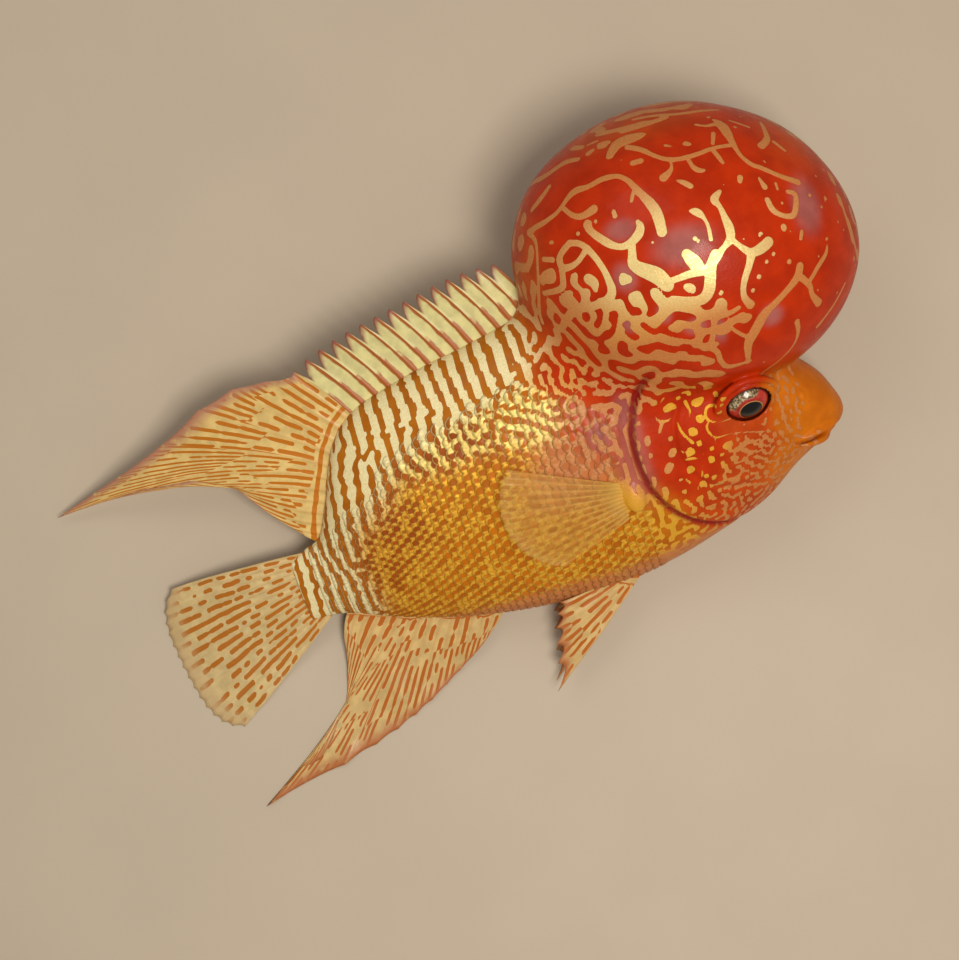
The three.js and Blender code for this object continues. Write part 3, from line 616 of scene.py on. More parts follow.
# Zones of the side view: middle, reach, ground colour, pale colour, size of the pattern in millimetres,
# how much of it is pale (below -2 none), how golden it shines, how much each scale has a spot of its own,
# which way the lines run in degrees from the snout's direction, and how strictly they do
ZONES = [
    ((10, 22), (36, 22), RED, TAN, 9.0, -4.0, 0.0, 0, 0, 0),
    ((-30, 27), (20, 18), RED, TAN, 9.0, -4.0, 0.0, 0, 40, 0.3),
    ((40, -5), (20, 30), RED, TAN, 9.0, -4.0, 0.0, 0, 100, 0.2),
    ((-52, 18), (7, 20), ORANGE_RED, TAN, 9.0, -0.75, 0.0, 0, 65, 0.9),
    ((-55, -8), (8, 16), RED, TAN, 8.0, -0.6, 0.0, 0, 100, 0.8),
    ((0, 50), (52, 5), ORANGE_RED, TAN, 9.0, -0.6, 0.0, 0, 0, 0.9),
    ((48, 30), (12, 13), ORANGE_RED, TAN, 8.5, -0.6, 0.0, 0, 130, 0.9),
    ((58, -2), (6, 30), RED, TAN, 8.5, -0.6, 0.0, 0, 95, 0.9),
    # The next two zones give the veins in the hump's middle pale gold: gold skin, brightened as a painted
    # highlight
    ((-9, 5), (17, 8), RED, PALE_GOLD, 8.0, -1.0, 0.6, 0, 150, 0.2),
    ((14, 4), (14, 11), RED, PALE_GOLD, 9.0, -4.0, 0.8, 0, 0, 0),
    ((-40, 2), (10, 14), RED, TAN, 7.0, 0.1, 0.3, 0, 0, 0),
    ((-20, -8), (19, 9), RED, TAN_GOLD, 8.0, 0.9, 0.35, 0, 0, 0),
    ((-42, -12), (8, 8), RED, TAN, 7.6, 0.5, 0.1, 0, 0, 0),
    ((-5, -20), (16, 8), RED, TAN, 8.4, 0.5, 0.1, 0, 165, 0.2),
    ((-26, -24), (16, 8), RED, TAN, 8.0, 0.5, 0.0, 0, 165, 0.3),
    ((-12, -34), (18, 6), RED, TAN, 7.6, 0.2, 0.0, 0, 165, 0.4),
    ((18, -32), (18, 10), RED, TAN, 8.0, -4.0, 0.0, 0, 0, 0),
    ((-38, -36), (12, 8), RED, PINK_TAN, 4.8, -0.2, 0.0, 0, 150, 0.4),
    ((-53, -25), (9, 9), RED, TAN_GOLD, 4.2, -0.5, 0.2, 0, 110, 0.6),
    ((32, -64), (8, 13), ORANGE, TAN, 6.0, -3.5, 0.0, 0, 0, 0),
    ((19, -62), (6, 12), ORANGE, TAN, 4.0, -0.9, 0.1, 0, 95, 0.6),
    ((14, -84), (10, 8), ORANGE, TAN, 4.0, -0.90, 0.0, 0, 0, 0),
    ((3, -72), (9, 6), ORANGE_RED, TAN, 3.8, 0.0, 0.15, 0, 150, 0.3),
    ((4, -60), (10, 5), ORANGE_RED, TAN, 4.4, -3.0, 0.1, 0, 0, 0),
    ((-4, -84), (13, 9), ORANGE_RED, TAN, 4.2, -0.45, 0.1, 0, 0, 0),
    ((-16, -62), (9, 18), RED, GOLD, 5.0, -1.7, 0.3, 0, 0, 0),
    ((-26, -62), (6, 12), RED, PINK_TAN, 5.0, -2.6, 0.1, 0, 0, 0),
    ((-38, -60), (5, 14), MAUVE, PINK_TAN, 4.4, -1.0, 0.0, 0.1, 90, 0.6),
    ((-49, -47), (9, 13), ORANGE_RED, PINK_TAN, 4.4, 0.25, 0.0, 0.3, 0, 0),
    ((-62, -61), (14, 12), SALMON, PINK_TAN, 5.0, 0.30, 0.1, 0.7, 0, 0),
    ((-60, -84), (22, 14), AMBER, GOLD, 5.0, 0.15, 0.4, 1, 0, 0),
    ((-70, -36), (14, 9), AMBER, BRIGHT_GOLD, 4.6, 0.30, 0.8, 0.5, 150, 0.4),
    ((-92, -54), (20, 12), AMBER, GOLD, 5.0, 0.20, 0.7, 1, 0, 0),
    ((-104, -82), (24, 16), AMBER, GOLD, 5.0, 0.15, 0.5, 1, 0, 0),
    ((-128, -70), (16, 16), DARK_AMBER, GOLD, 5.0, 0.10, 0.4, 1, 0, 0),
    ((-100, -40), (16, 7), DARK_AMBER, BRIGHT_GOLD, 5.2, 0.15, 0.7, 0.5, 100, 0.3),
    ((-62, -12), (9, 10), BROWN, CREAM, 5.5, 0.30, 0.1, 0, 108, 0.7),
    ((-82, -18), (15, 9), BROWN, CREAM, 5.5, 0.45, 0.1, 0, 98, 0.6),
    ((-104, -20), (15, 9), BROWN, CREAM, 5.5, 0.5, 0.1, 0, 103, 0.65),
    ((-124, -26), (14, 10), BROWN, CREAM, 5.5, 0.5, 0.1, 0, 96, 0.75),
    ((-112, -33), (12, 6), BROWN, CREAM, 5.6, 0.4, 0.2, 0.1, 80, 0.85),
    ((-138, -42), (11, 16), BROWN, CREAM, 5.5, 0.4, 0.1, 0, 80, 0.9),
    ((-150, -58), (9, 14), BROWN, CREAM, 5.2, 0.10, 0.2, 0.1, 80, 0.9),
    ((-158, -80), (12, 14), BROWN, CREAM, 5.0, 0.05, 0.2, 0.3, 85, 0.5),
    ((-70, -112), (60, 6), SALMON, TAN, 4.6, 0.20, 0.1, 0.7, 0, 0),
]
GROUND, PALE, PATTERN_SIZE, PALENESS, SHINE, SPOTTED, LINES, STRICT = range(2, 10)
ZONE_EDGE = 1.6  # how sharply one zone gives way to the next


def zone_weights(p):
    """How much each zone counts at points of the fish."""
    weights = []
    for middle, reach, *_ in ZONES:
        away = ((p[:, 0] - middle[0]) / reach[0]) ** 2 + ((p[:, 1] - middle[1]) / reach[1]) ** 2
        weights.append(np.exp(-ZONE_EDGE * np.minimum(away, 60)) + 1e-9 / (1 + away))
    weights = np.array(weights).T
    return weights / weights.sum(1)[:, None]


def zoned(weights, column):
    """A column of the zones, blended from zone to zone. A colour gets its alpha."""
    values = weights @ np.array([np.atleast_1d(zone[column]) for zone in ZONES], float)
    return values[:, 0] if values.shape[1] == 1 else np.concatenate([values, np.ones((len(values), 1))], 1)


# The hump's main veins: strokes of (x, y, half width)
VEINS = [
    [(-49, 25.5, 1.2), (-37.5, 30.5, 1), (-34.5, 33, 0.9), (-30, 36, 1.5), (-25, 36, 0.9),
     (-19.5, 37.5, 1.2), (-13, 37, 0.8), (-9.5, 31, 1.3), (-6, 24.5, 2), (-6.5, 17.5, 1.7)],
    [(-11, 32, 0.7), (-13, 29, 0.6)],
    [(-35, 31.5, 0.9), (-33, 29, 1), (-30, 28, 1.2), (-25.5, 29.5, 1.6)],
    [(-29, 25.5, 1.7), (-29, 23.5, 1.2), (-25, 19, 1.6), (-22.5, 17, 1.2), (-19.5, 16, 1.2),
     (-14, 18.5, 1.7), (-12.5, 21, 1.4), (-13, 22.5, 0.9)],
    [(-17, 17, 1.4), (-18, 13, 1.5), (-19, 10, 2), (-15.5, 7, 2.5), (-12, 4.5, 2.9), (-10, 0.5, 2.3)],
    [(-49, 25.5, 1.2), (-47, 23, 0.8), (-49.5, 14, 0.7), (-51, 8, 0.8), (-54, -2, 1), (-54, -6, 1)],
    [(-36.5, 21, 1.2), (-40, 18.5, 1.2), (-42, 16, 1), (-41, 13, 1.4), (-36.5, 14, 0.9), (-33.5, 16.5, 1),
     (-31.5, 18.5, 1.2), (-33.5, 20.5, 1.1), (-36.5, 21, 1.2)],
    [(-46.5, 17, 0.9), (-43.5, 16.5, 1)],
    [(-31.5, 18.5, 1.2), (-29.5, 14.5, 1.2), (-28, 9.5, 1.2), (-27.5, 1, 1.7), (-35, -1, 1.5),
     (-40.5, -1, 1.7)],
    [(-15, 43, 1.5), (-12, 45.5, 2.3), (-8.5, 46, 2.8), (-4, 46, 2), (-2, 46, 0.9)],
    [(-8.5, 44, 1.2), (-4.5, 42.5, 1.2), (-1.5, 40, 1), (3.5, 37, 1.2), (12, 36, 1.1), (18, 36, 0.8),
     (24, 34.5, 0.8)],
    [(3.5, 37, 0.8), (3, 34.5, 0.9), (-0.5, 33, 1.6)],
    [(3.5, 31, 0.7), (5.5, 29.5, 1.2), (7, 28, 1)],
    [(-3.5, 50, 0.9), (3, 49.5, 1), (11.5, 47.5, 1), (19, 46, 1), (25, 44, 0.8)],
    [(-25.5, 44, 1), (-30, 44, 1.4), (-39, 40, 1.4), (-43.5, 38, 1.2)],
    [(-37.5, 38, 1), (-41.5, 35, 1.4), (-45.5, 32, 1.1)],
    [(-21.5, 45, 1.3), (-20, 45.5, 1)],
    [(-21, 47, 0.7), (-17.5, 47.5, 0.7)],
    [(-8.5, 39.5, 1.2), (-6, 39.5, 1.2)],
    [(3.5, 41.5, 0.9), (5.5, 40.5, 0.7)],
    [(10, 40, 1.2), (11, 39.5, 1)],
    [(-19.5, 27.5, 0.8), (-19.5, 26, 0.9)],
    [(-42.5, 22, 0.8), (-42, 22, 0.7)],
    [(4.5, 21, 0.7), (6.5, 20, 1.6), (8, 17.5, 0.5), (8.5, 15, 0.7), (8, 10.5, 0.7)],
    [(-1, 8.5, 1.7), (0.5, 5.5, 2.5), (1.5, 3, 2.1)],
    [(9, 36, 0.9), (9.5, 33.5, 1), (11, 31.5, 1.2), (13, 31, 0.7)],
    [(18, 35, 0.8), (19, 32.5, 0.9), (19.5, 31, 0.7)],
    [(22, 42.5, 0.8), (24, 40.5, 2.4), (25, 34, 0.9), (26, 30.5, 0.8), (28.5, 27, 0.9), (31.5, 25, 1),
     (37, 20, 1), (42, 16, 1.2)],
    [(15.5, 43.5, 0.7), (18.5, 42, 0.7), (21.5, 41.5, 1)],
    [(20, 39.5, 0.8), (18.5, 37, 0.7)],
    [(27, 40.5, 0.6), (32.5, 36.5, 0.7)],
    [(37.5, 35.5, 0.7), (37.5, 31, 1.3), (34, 30.5, 1.4)],
    [(39, 29.5, 0.9), (41.5, 26, 0.8)],
    [(30, 15.5, 1.2), (30.5, 12, 1.3), (33, 9, 1), (37, 7, 1.2), (39, 10, 1.2), (40, 13.5, 1),
     (37.5, 15, 0.9)],
    [(29.5, 22.5, 0.7), (30.5, 19.5, 1.2)],
    [(23.5, 25, 1.1), (23, 24, 0.9)],
    [(34.5, 19, 0.7), (34.5, 17, 0.7)],
    [(32.5, 5.5, 1.2), (32.5, 5, 1.2)],
    [(38, 1.5, 0.8), (37, -0.5, 0.8)],
    [(15.5, 23.5, 0.8), (12.5, 22, 1.6), (14, 19.5, 0.8), (14.5, 15.5, 1.2), (15, 12, 1.7),
     (14.5, 8.5, 1.5), (11, 6.5, 0.9), (8, 4.5, 1.7)],
    [(15, 7.5, 1), (17, 4.5, 1), (19.5, 1.5, 1.5), (23.5, 2, 1.9), (26, 3, 1.9)],
    [(19.5, 1.5, 1.6), (17.5, -2, 1.2), (15, -5.5, 1.2), (13.5, -8.5, 1), (13, -12, 1.2),
     (14.5, -15, 1.6)],
    [(10.5, -14.5, 0.9), (7.5, -15.5, 1), (2, -15, 1.5), (1, -18, 1), (-0.5, -22.5, 1), (-2.5, -25.5, 1.4),
     (0, -28, 1.1), (0, -33, 1), (2, -36.5, 1.3), (10, -36.5, 0.6)],
    [(34, -9, 1.5), (32.5, -12, 1.6), (28.5, -14.5, 1.2), (21, -18.5, 1.3), (18, -20, 1.9),
     (12.5, -26.5, 2), (10.5, -28.5, 1.7), (9.5, -34, 1.1), (9, -37, 0.8)],
    [(33.5, -13, 1.3), (36, -17, 1.1), (35.5, -20.5, 1), (37.5, -25, 1.6)],
    [(36.5, -15, 0.9), (41, -11.5, 1), (44.5, -9.5, 1), (45.5, -7, 0.6)],
    [(6.5, -17, 0.6), (6, -20.5, 0.8), (8.5, -24, 0.8), (11, -26.5, 0.9)],
    [(28.5, -28, 1.1), (28.5, -32, 0.9), (26.5, -37, 0.6), (20, -42, 0.6), (9.5, -46, 0.5)],
    [(49, -24, 0.7), (42.5, -30, 0.7), (35.5, -34.5, 0.9)],
    [(8, 5.5, 1.7), (5.5, 2.5, 1.8), (4, -2, 2), (2.5, -6, 2), (-0.5, -8, 1.9), (-4.5, -7, 1.6),
     (-9.5, -5, 1.6)],
    [(-8.5, 1.5, 1.1), (-1.5, 2, 1.3), (4, 1.5, 1.8)],
    [(-41, 17, 1.1), (-42, 10, 1.3), (-43, 6.5, 1.2), (-50, 5.5, 0.9)],
    [(-34, 8.5, 1.9), (-32.5, 7, 1.9), (-33, 4.5, 0.9)],
    [(-41.5, 2.5, 1.6), (-40.5, -0.5, 1.9), (-44, -3, 1.6), (-48, -8, 1.4)],
]

# Soft patches on the hump: middle and reach. The first and largest, in the middle of the hump, is a
# painted pink reflection
PINK_AND_REFLECTION_PATCHES = [
    ((-1.3, 11.5), (10, 6.5)), ((-18.9, 21.3), (5.5, 3.5)), ((41.9, 8), (5, 9)), ((-13.5, -8.7), (2.5, 3.5)),
    ((-25.2, -9.7), (3, 3)), ((-4.8, -16.1), (4, 3)), ((20.5, -21.5), (4, 4)), ((2.3, -20), (2.5, 5)),
    ((-22.3, 6.3), (4, 5)), ((-47, -50), (5, 6)), ((-36, -44), (4, 7)),
]
# A pale gold patch over the hump's middle: gold skin, partly a painted highlight where the lamp's reflection
# falls
GILT_AND_HIGHLIGHT_PATCHES = [((-4, 9), (33, 18))]

# Gold lines round the eye, over the cheek and on the gill cover
CHEEK_LINES = [
    [(-2, -52, 0.4), (-5, -51, 0.5), (-8, -50.5, 0.7), (-9.5, -52.5, 0.6), (-9.5, -55.5, 0.7),
     (-6.5, -57.5, 0.4), (-3.5, -57.5, 0.4), (0.5, -57.5, 0.4)],
    [(12.5, -68, 0.3), (7.5, -66.5, 0.5), (3, -64.5, 0.5), (-3.5, -63, 0.5), (-8.5, -63, 0.5),
     (-10, -60.5, 0.6), (-10.5, -58, 0.6), (-9.5, -56.5, 0.5)],
    [(-1, -63, 0.4), (-1.5, -66.5, 0.4), (1, -71, 0.4)],
    [(-9, -63, 0.4), (-8.5, -66.5, 0.3), (-8.5, -71, 0.3)],
    [(-21.5, -42.5, 0.5), (-24.5, -45, 0.4), (-26.5, -48, 0.5), (-25.5, -51, 0.6), (-22.5, -51.5, 0.5),
     (-20, -50.5, 0.4), (-18, -49, 0.3)],
    [(-24.5, -51, 0.6), (-26.5, -54.5, 0.6)],
    [(-20, -51.5, 0.4), (-19.5, -55.5, 0.5), (-18.5, -58.5, 0.6), (-16.5, -62, 0.7)],
    [(-15, -46.5, 0.7), (-14, -50.5, 0.5), (-15.5, -53, 0.3)],
    [(-12.5, -59.5, 0.3), (-13, -64.5, 0.3), (-15, -69.5, 0.3), (-16.5, -75, 0.3), (-19.5, -80, 0.3)],
    [(-33, -62.5, 0.3), (-32, -65.5, 0.3)],
    [(-21.5, -67, 0.4), (-18, -67.5, 0.6), (-16, -68.5, 0.3)],
    [(-22.5, -74.5, 0.4), (-21.5, -76.5, 0.5)],
    [(-21.5, -63.5, 0.5), (-20.5, -64.5, 0.3)],
    [(-34, -68.5, 0.3), (-31, -71, 0.3), (-27.5, -74, 0.5), (-26, -78.5, 0.4), (-21.5, -82.5, 0.3)],
]


def patched(p, values, patches, tone):
    """Values of the skin with some soft patches of another tone."""
    for middle, reach in patches:
        away = ((p[:, :2] - middle) / reach) ** 2
        share = np.exp(-(away.sum(1) ** 2))[:, None]
        values = mix(values, np.array(tone), share)
    return values


def rounded(path, times=2):
    """A path with its corners cut, twice as many points each time."""
    for _ in range(times):
        a, b = path[:-1], path[1:]
        cut = np.stack([mix(a, b, 0.25), mix(a, b, 0.75)], 1).reshape(-1, path.shape[1])
        path = np.concatenate([path[:1], cut[1:-1], path[-1:]])
    return path


STROKE_REACH = 5.0  # how far from a stroke its distance is told
WIDEST_STROKE = 3.0


def stroke_distance(p, strokes):
    """Distance from the nearest edge of some strokes, each a row of (x, y, z, half width)."""
    best = np.full(len(p), STROKE_REACH)
    for path in strokes:
        low = path[:, :3].min(0) - STROKE_REACH - WIDEST_STROKE
        high = path[:, :3].max(0) + STROKE_REACH + WIDEST_STROKE
        near = np.flatnonzero(((p > low) & (p < high)).all(1))
        q, found = p[near], best[near]
        for a, b in zip(path[:-1], path[1:]):
            axis = b[:3] - a[:3]
            t = np.clip((q - a[:3]) @ axis / (axis @ axis), 0, 1)
            away = np.linalg.norm(q - a[:3] - t[:, None] * axis, axis=1)
            found = np.minimum(found, away - mix(a[3], b[3], t))
        best[near] = found
    return best


def vein_distance(p):
    """Distance from the main veins: on the left side the hump has its veins the other way round."""
    c, s = math.cos(HUMP_TILT), math.sin(HUMP_TILT)
    swap = np.array([[s * s - c * c, -2 * s * c], [-2 * s * c, c * c - s * s]])
    strokes = []
    for side, rows in ((1, VEINS), (-1, VEINS), (1, CHEEK_LINES), (-1, CHEEK_LINES)):
        for row in rows:
            x, y, width = rounded(np.array(row, float)).T
            if side < 0 and rows is VEINS:
                x, y = swap @ [x, y]
            z = side * side_height(flesh_distance, x, y)
            strokes.append(np.stack([x, y, z, width], 1))
    return stroke_distance(p, strokes)


def both_ways(faces):
    """Each edge and diagonal of a net of squares, once in each direction."""
    pairs = [faces[:, [i, (i + 1) % 4]] for i in range(4)] + [faces[:, [0, 2]], faces[:, [1, 3]]]
    pairs = np.unique(np.sort(np.concatenate(pairs), 1), axis=0)
    return np.concatenate([pairs, pairs[:, ::-1]]).T


GROWTH = 8  # how strongly a cell's surroundings set it, in each round
NEAR_REACH = 0.018  # how far cells strengthen others, in squares of the pattern's size
FAR_REACH = 0.065  # how far they hold others back
STRIPE_START = (-116.3, -12)  # a brown stripe of the back starts here, at a spine's foot


def grown_pattern(points, faces, size, paleness, flow, seed, rounds=22):
    """A maze that grows on a net: positive where the skin turns pale, with lines about `size` apart.

    `flow` is the cosine and sine of twice the angle along which the lines run, times how strictly they do.
    """
    start, end = both_ways(faces)
    along_edge = points[end] - points[start]
    length = np.linalg.norm(along_edge, axis=1)
    turn = 2 * np.arctan2(along_edge[:, 1], along_edge[:, 0])
    level = (along_edge[:, :2] ** 2).sum(1) / length**2
    lean = level * (flow[start, 0] * np.cos(turn) + flow[start, 1] * np.sin(turn))
    pull = 1 / np.maximum(length, 0.3) ** 2
    spread = (pull * length**2).sum() / pull.sum() / 2
    pace = np.minimum((size / size.max()) ** 2, 1)

    def blur(u, pull, times):
        total = np.bincount(start, pull, len(points))
        for _ in range(times):
            u = u + pace * (np.bincount(start, pull * u[end], len(points)) / total - u)
        return u

    near = max(1, round(NEAR_REACH * size.max() ** 2 / spread))
    far = max(2, round(FAR_REACH * size.max() ** 2 / spread))
    strict = np.linalg.norm(flow, axis=1)
    line = np.arctan2(flow[:, 1], flow[:, 0]) / 2
    ahead, above = points[:, 0] - STRIPE_START[0], points[:, 1] - STRIPE_START[1]
    across = ahead * np.sin(line) - above * np.cos(line)
    u = np.random.default_rng(seed).normal(0, 1, len(points)) * (1.1 - strict)
    u = u + strict * np.sin(2 * math.pi * across / size)
    for _ in range(rounds):
        close = blur(u, pull * (1 + lean), near)
        field = GROWTH * (close - blur(close, pull, far)) + paleness
        u = np.tanh(field)
    return field


# Scales sit in slanting rows from the gill cover to the tail, smaller towards the tail
SCALE_PITCH = 5.3
SCALE_ROWS = 29
SCALE_FIRST_X = -37.0
SCALE_LAST_X = -161.0
SCALE_SIZES = ([-165, -140, -90, -37], [0.62, 0.72, 1.0, 1.0])  # places along the fish, and sizes there
SCALE_STEP = 1.08  # from column to column, in half pitches
SCALES_FROM = 1.14  # the gill ring behind which they start
HUMP_CLEAR = 5.0
LOBE_CLEAR = 5.0
SEAM_REACH = 2.9  # from a scale's middle to its drawn outline
SEAM_WIDTH = 0.55
BARE = 0.13  # where fewer of the scales than this have a spot, they lie flat in the skin
SPOT_SIZES = (1.0, 1.65)
SPOT_SET_BACK = 0.25


def round_body(x, share):
    """A place on the right flank's plain cross-section, by its share of the way from belly to back."""
    back, belly, width = (along(STATIONS, x, column)[:, None] for column in (1, 2, 3))
    angle = np.linspace(-math.pi / 2, math.pi / 2, 49)[None, :]
    y = (back + belly) / 2 + (back - belly) / 2 * np.sin(angle)
    z = width * np.cos(angle)
    run = np.cumsum(np.hypot(np.diff(y, prepend=y[:, :1]), np.diff(z, prepend=z[:, :1])), axis=1)
    places = []
    for k in range(len(x)):
        at = share[k] * run[k, -1]
        places.append((x[k], np.interp(at, run[k], y[k]), np.interp(at, run[k], z[k])))
    return np.array(places)


def bare_flank(p):
    """Distance to the flank's skin without any feature."""
    return flesh_distance(p) + SKIN_DEPTH


def tree_of(places):
    """A tree that finds the nearest of some places."""
    tree = KDTree(len(places))
    for index, place in enumerate(places):
        tree.insert(place, index)
    tree.balance()
    return tree


scale_x, scale_share, scale_size = [], [], []
x, column = SCALE_FIRST_X, 0
while x > SCALE_LAST_X:
    smaller = np.interp(x, *SCALE_SIZES)
    for row in range(SCALE_ROWS):
        share = (row + 0.5 + (column % 2) / 2) / (SCALE_ROWS + 0.5)
        scale_x.append(x)
        scale_share.append(share)
        scale_size.append(smaller)
    x -= SCALE_PITCH * smaller / 2 * SCALE_STEP
    column += 1
scale_at = settle(bare_flank, round_body(np.array(scale_x), np.array(scale_share)))
scale_share, scale_size = np.array(scale_share), np.array(scale_size)
scaled = gill_ring(scale_at[:, 0], scale_at[:, 1]) > SCALES_FROM
scaled &= hump_distance(scale_at) > HUMP_CLEAR
scaled &= np.linalg.norm(scale_at - [*PECTORAL_LOBE, lobe_z], axis=1) >= LOBE_CLEAR
scale_at, scale_share, scale_size = scale_at[scaled], scale_share[scaled], scale_size[scaled]
spot_at = scale_at - (SPOT_SET_BACK * SCALE_PITCH * scale_size)[:, None] * [1, 0, 0]
spot_tree = tree_of(np.concatenate([spot_at, spot_at * [1, 1, -1]]))
spot_size = np.random.default_rng(5).uniform(*SPOT_SIZES, len(scale_at)) * scale_size

MOAT_DEPTH = 1.2  # how firmly the skin beside a vein stays red, and how far
MOAT_WIDTH = 1.6
MAZE_FROM = -0.2  # the paleness above which the maze runs up to the veins
FLECKS = 170
FLECK_SIZES = (0.2, 1.0)
FLECKED = -2.2  # the paleness below which flecks are sown
FLECKS_SHOW = -1.5
VEIN_ROOM = 1.2  # between a vein and the flecks beside it
VEIN_EDGE = 2.6  # how crisp the edges of the veins and of the scales' spots are
SPOT_EDGE = 2.2
DEPTH = 3.0  # how far inside or outside its markings a place counts
FAR_AWAY = 9.0

weights = zone_weights(skin_points)
size = zoned(weights, PATTERN_SIZE)
paleness = zoned(weights, PALENESS)
lines = np.radians([zone[LINES] * 2 for zone in ZONES])
strict = np.array([zone[STRICT] for zone in ZONES])
flow = weights @ (np.stack([np.cos(lines), np.sin(lines)], 1) * strict[:, None])
veins = vein_distance(skin_points)
moat = MOAT_DEPTH * bell(np.maximum(veins, 0), MOAT_WIDTH) * (paleness < MAZE_FROM)
pattern = grown_pattern(skin_points, skin_faces, size, paleness - moat, flow, 7)
fleck_random = np.random.default_rng(11)
fleck_at = skin_points[fleck_random.choice(np.flatnonzero(paleness < FLECKED), FLECKS)]
fleck_size = fleck_random.uniform(*FLECK_SIZES, len(fleck_at))
fleck_tree = tree_of(fleck_at)
flecks = np.full(len(skin_points), FAR_AWAY)
for index in np.flatnonzero(paleness < FLECKS_SHOW):
    _, nearest, away = fleck_tree.find(skin_points[index])
    flecks[index] = away - fleck_size[nearest]
edge = np.minimum(veins, np.where(veins > VEIN_ROOM, flecks, FAR_AWAY))
pattern = np.maximum(np.clip(pattern, -DEPTH, DEPTH), np.clip(-VEIN_EDGE * edge, -DEPTH, DEPTH))
spotted = zoned(weights, SPOTTED)
seam = np.zeros(len(skin_points))
behind_hump = (hump_distance(skin_points) > HUMP_CLEAR) & (skin_points[:, 0] < SCALE_FIRST_X)
for index in np.flatnonzero(behind_hump):
    _, nearest, away = spot_tree.find(skin_points[index])
    nearest %= len(scale_at)
    spot = np.clip(SPOT_EDGE * (away - spot_size[nearest]), -DEPTH, DEPTH)
    pattern[index] = mix(pattern[index], spot, spotted[index])
    seam[index] = bell(away - SEAM_REACH * scale_size[nearest], SEAM_WIDTH)
seam *= smoothstep(BARE + 0.05, BARE, spotted)
in_slit = bell(gill_ring(skin_points[:, 0], skin_points[:, 1]) - SLIT_RING, 0.03)
skin_attributes = {
    "pattern": pattern,
    # The ground colour takes the pink patches, the largest of them a painted pink reflection
    "ground": patched(skin_points, zoned(weights, GROUND), PINK_AND_REFLECTION_PATCHES, (*PINK, 1)),
    # The pale colour takes the gilt patch, partly a painted highlight
    "pale": patched(skin_points, zoned(weights, PALE), GILT_AND_HIGHLIGHT_PATCHES, (*PALE_GOLD, 1)),
    "shine": zoned(weights, SHINE),
    "seam": seam,
    "slit": gill_rear(skin_points[:, 0], skin_points[:, 1]) * in_slit,
}

# The skin's finish: wet and glossy over slightly clear flesh, with grainy gold in the brightest veins, a
# dark red slit behind the gill cover, the gills' red with painted shade of the opening, and veins that stand
# a little proud.


def wet_skin(name):
    """The glossy material that skin and scales share."""
    return new_material(
        name,
        Roughness=0.42,
        Coat_Weight=0.08,
        Coat_Roughness=0.08,
        Specular_IOR_Level=0.10,
        Subsurface_Weight=0.06,
        Subsurface_Scale=0.004,
        Subsurface_Radius=(1.0, 0.35, 0.2),
    )


# The gill slit's dark red: the gills' own red, darkened as painted shade of the opening
SLIT_RED_AND_SHADE = (0.25, 0.012, 0.012)
SEAM_TINT = (0.72, 0.62, 0.5, 1)
SKIN_RELIEF = 0.22  # how far veins and grain stand up

material, wire, shader = wet_skin("skin")
grain = wire.noise(0.55, 2)
cloud = wire.noise(9, 3)
mask = (wire.attribute("pattern") + (wire.noise(2.6, 3) - 0.5) * 0.9).step(-0.22, 0.22)
clouds = cloud.step(0.3, 0.7).blend((0.86, 0.8, 0.8), (1.1, 1.15, 1.2))
grains = grain.step(0.3, 0.7).blend((0.91, 0.86, 0.78), (1.07, 1.08, 1.1))
ground = wire.attribute("ground", "Color").tint(clouds)
pale = wire.attribute("pale", "Color").tint(grains)
painted = mask.blend(ground, pale)
drawn = wire.attribute("seam") * wire.noise(6, 2).step(0.3, 0.6, 0.1, 0.5)
painted = drawn.blend(painted, painted.tint(SEAM_TINT))
# The slit behind the gill cover gets its dark red, partly painted shade
feed(shader, "Base Color", wire.attribute("slit").blend(painted, SLIT_RED_AND_SHADE))
feed(shader, "Metallic", wire.attribute("shine") * mask * grain.step(0.25, 0.75, 0.25, 0.75))
feed(shader, "Roughness", wire.noise(3.5, 3).step(0.2, 0.8, 0.3, 0.46))
relief = mask * 0.5 + wire.noise(1.3, 4) * 0.5 - wire.attribute("seam") * 0.45
feed(shader, "Normal", bump(wire, relief, SKIN_RELIEF))
skin = new_piece("skin", skin_points, skin_faces, material, skin_attributes)
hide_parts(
    "hump", "head", "lower_jaw", "gill_cover_right", "gill_cover_left", "torso", "tail_stem"
)

# Scales. Thin clear plates rooted in the skin with a free rear edge, each over the front of the next,
# that carry the skin's own markings, with fine ridges across them and a pale gold rim. Over the stripes
# of the back there are none: the skin draws their outlines.

PLATE_SIDE = 6  # points along one side of a plate's grid
PLATE_REACH = (3.5, 3.0)  # half the length and half the width of a scale
PLATE_THICK = 0.22
PLATE_LIFT = (-0.5, 0.42)  # from the skin to the plate's root and to its free edge
PLATE_CURL = 0.1
FLAT_RELIEF = 0.45  # the share of that lift where a scale has no spot
LEAST_OUT = 0.9  # how near the fish's middle plane scales end
NEIGHBOURS = 4  # points of the skin that give a plate's point its markings
RIDGES = 46
RIDGE_RELIEF = 0.1
PLATE_PATCH = 0.0015  # half of a plate's place on the unwrapped skin

skin_tree = tree_of(skin_points)
row = np.linspace(-1, 1, PLATE_SIDE)
square_a, square_b = (g.ravel() for g in np.meshgrid(row, row, indexing="ij"))
round_a = square_a * np.sqrt(1 - square_b**2 / 2)
round_b = square_b * np.sqrt(1 - square_a**2 / 2)
at = np.arange(PLATE_SIDE**2).reshape(PLATE_SIDE, PLATE_SIDE)
plate_quads = np.stack([at[:-1, :-1], at[:-1, 1:], at[1:, 1:], at[1:, :-1]], -1).reshape(-1, 4)
plate_rim = np.concatenate([at[:-1, 0], at[-1, :-1], at[:0:-1, -1], at[0, :0:-1]])
joined = np.roll(plate_rim, -1)
under = PLATE_SIDE**2
rim_faces = np.stack([plate_rim, joined, joined + under, plate_rim + under], 1)
plate_faces = np.concatenate([plate_quads, plate_quads[:, ::-1] + under, rim_faces])

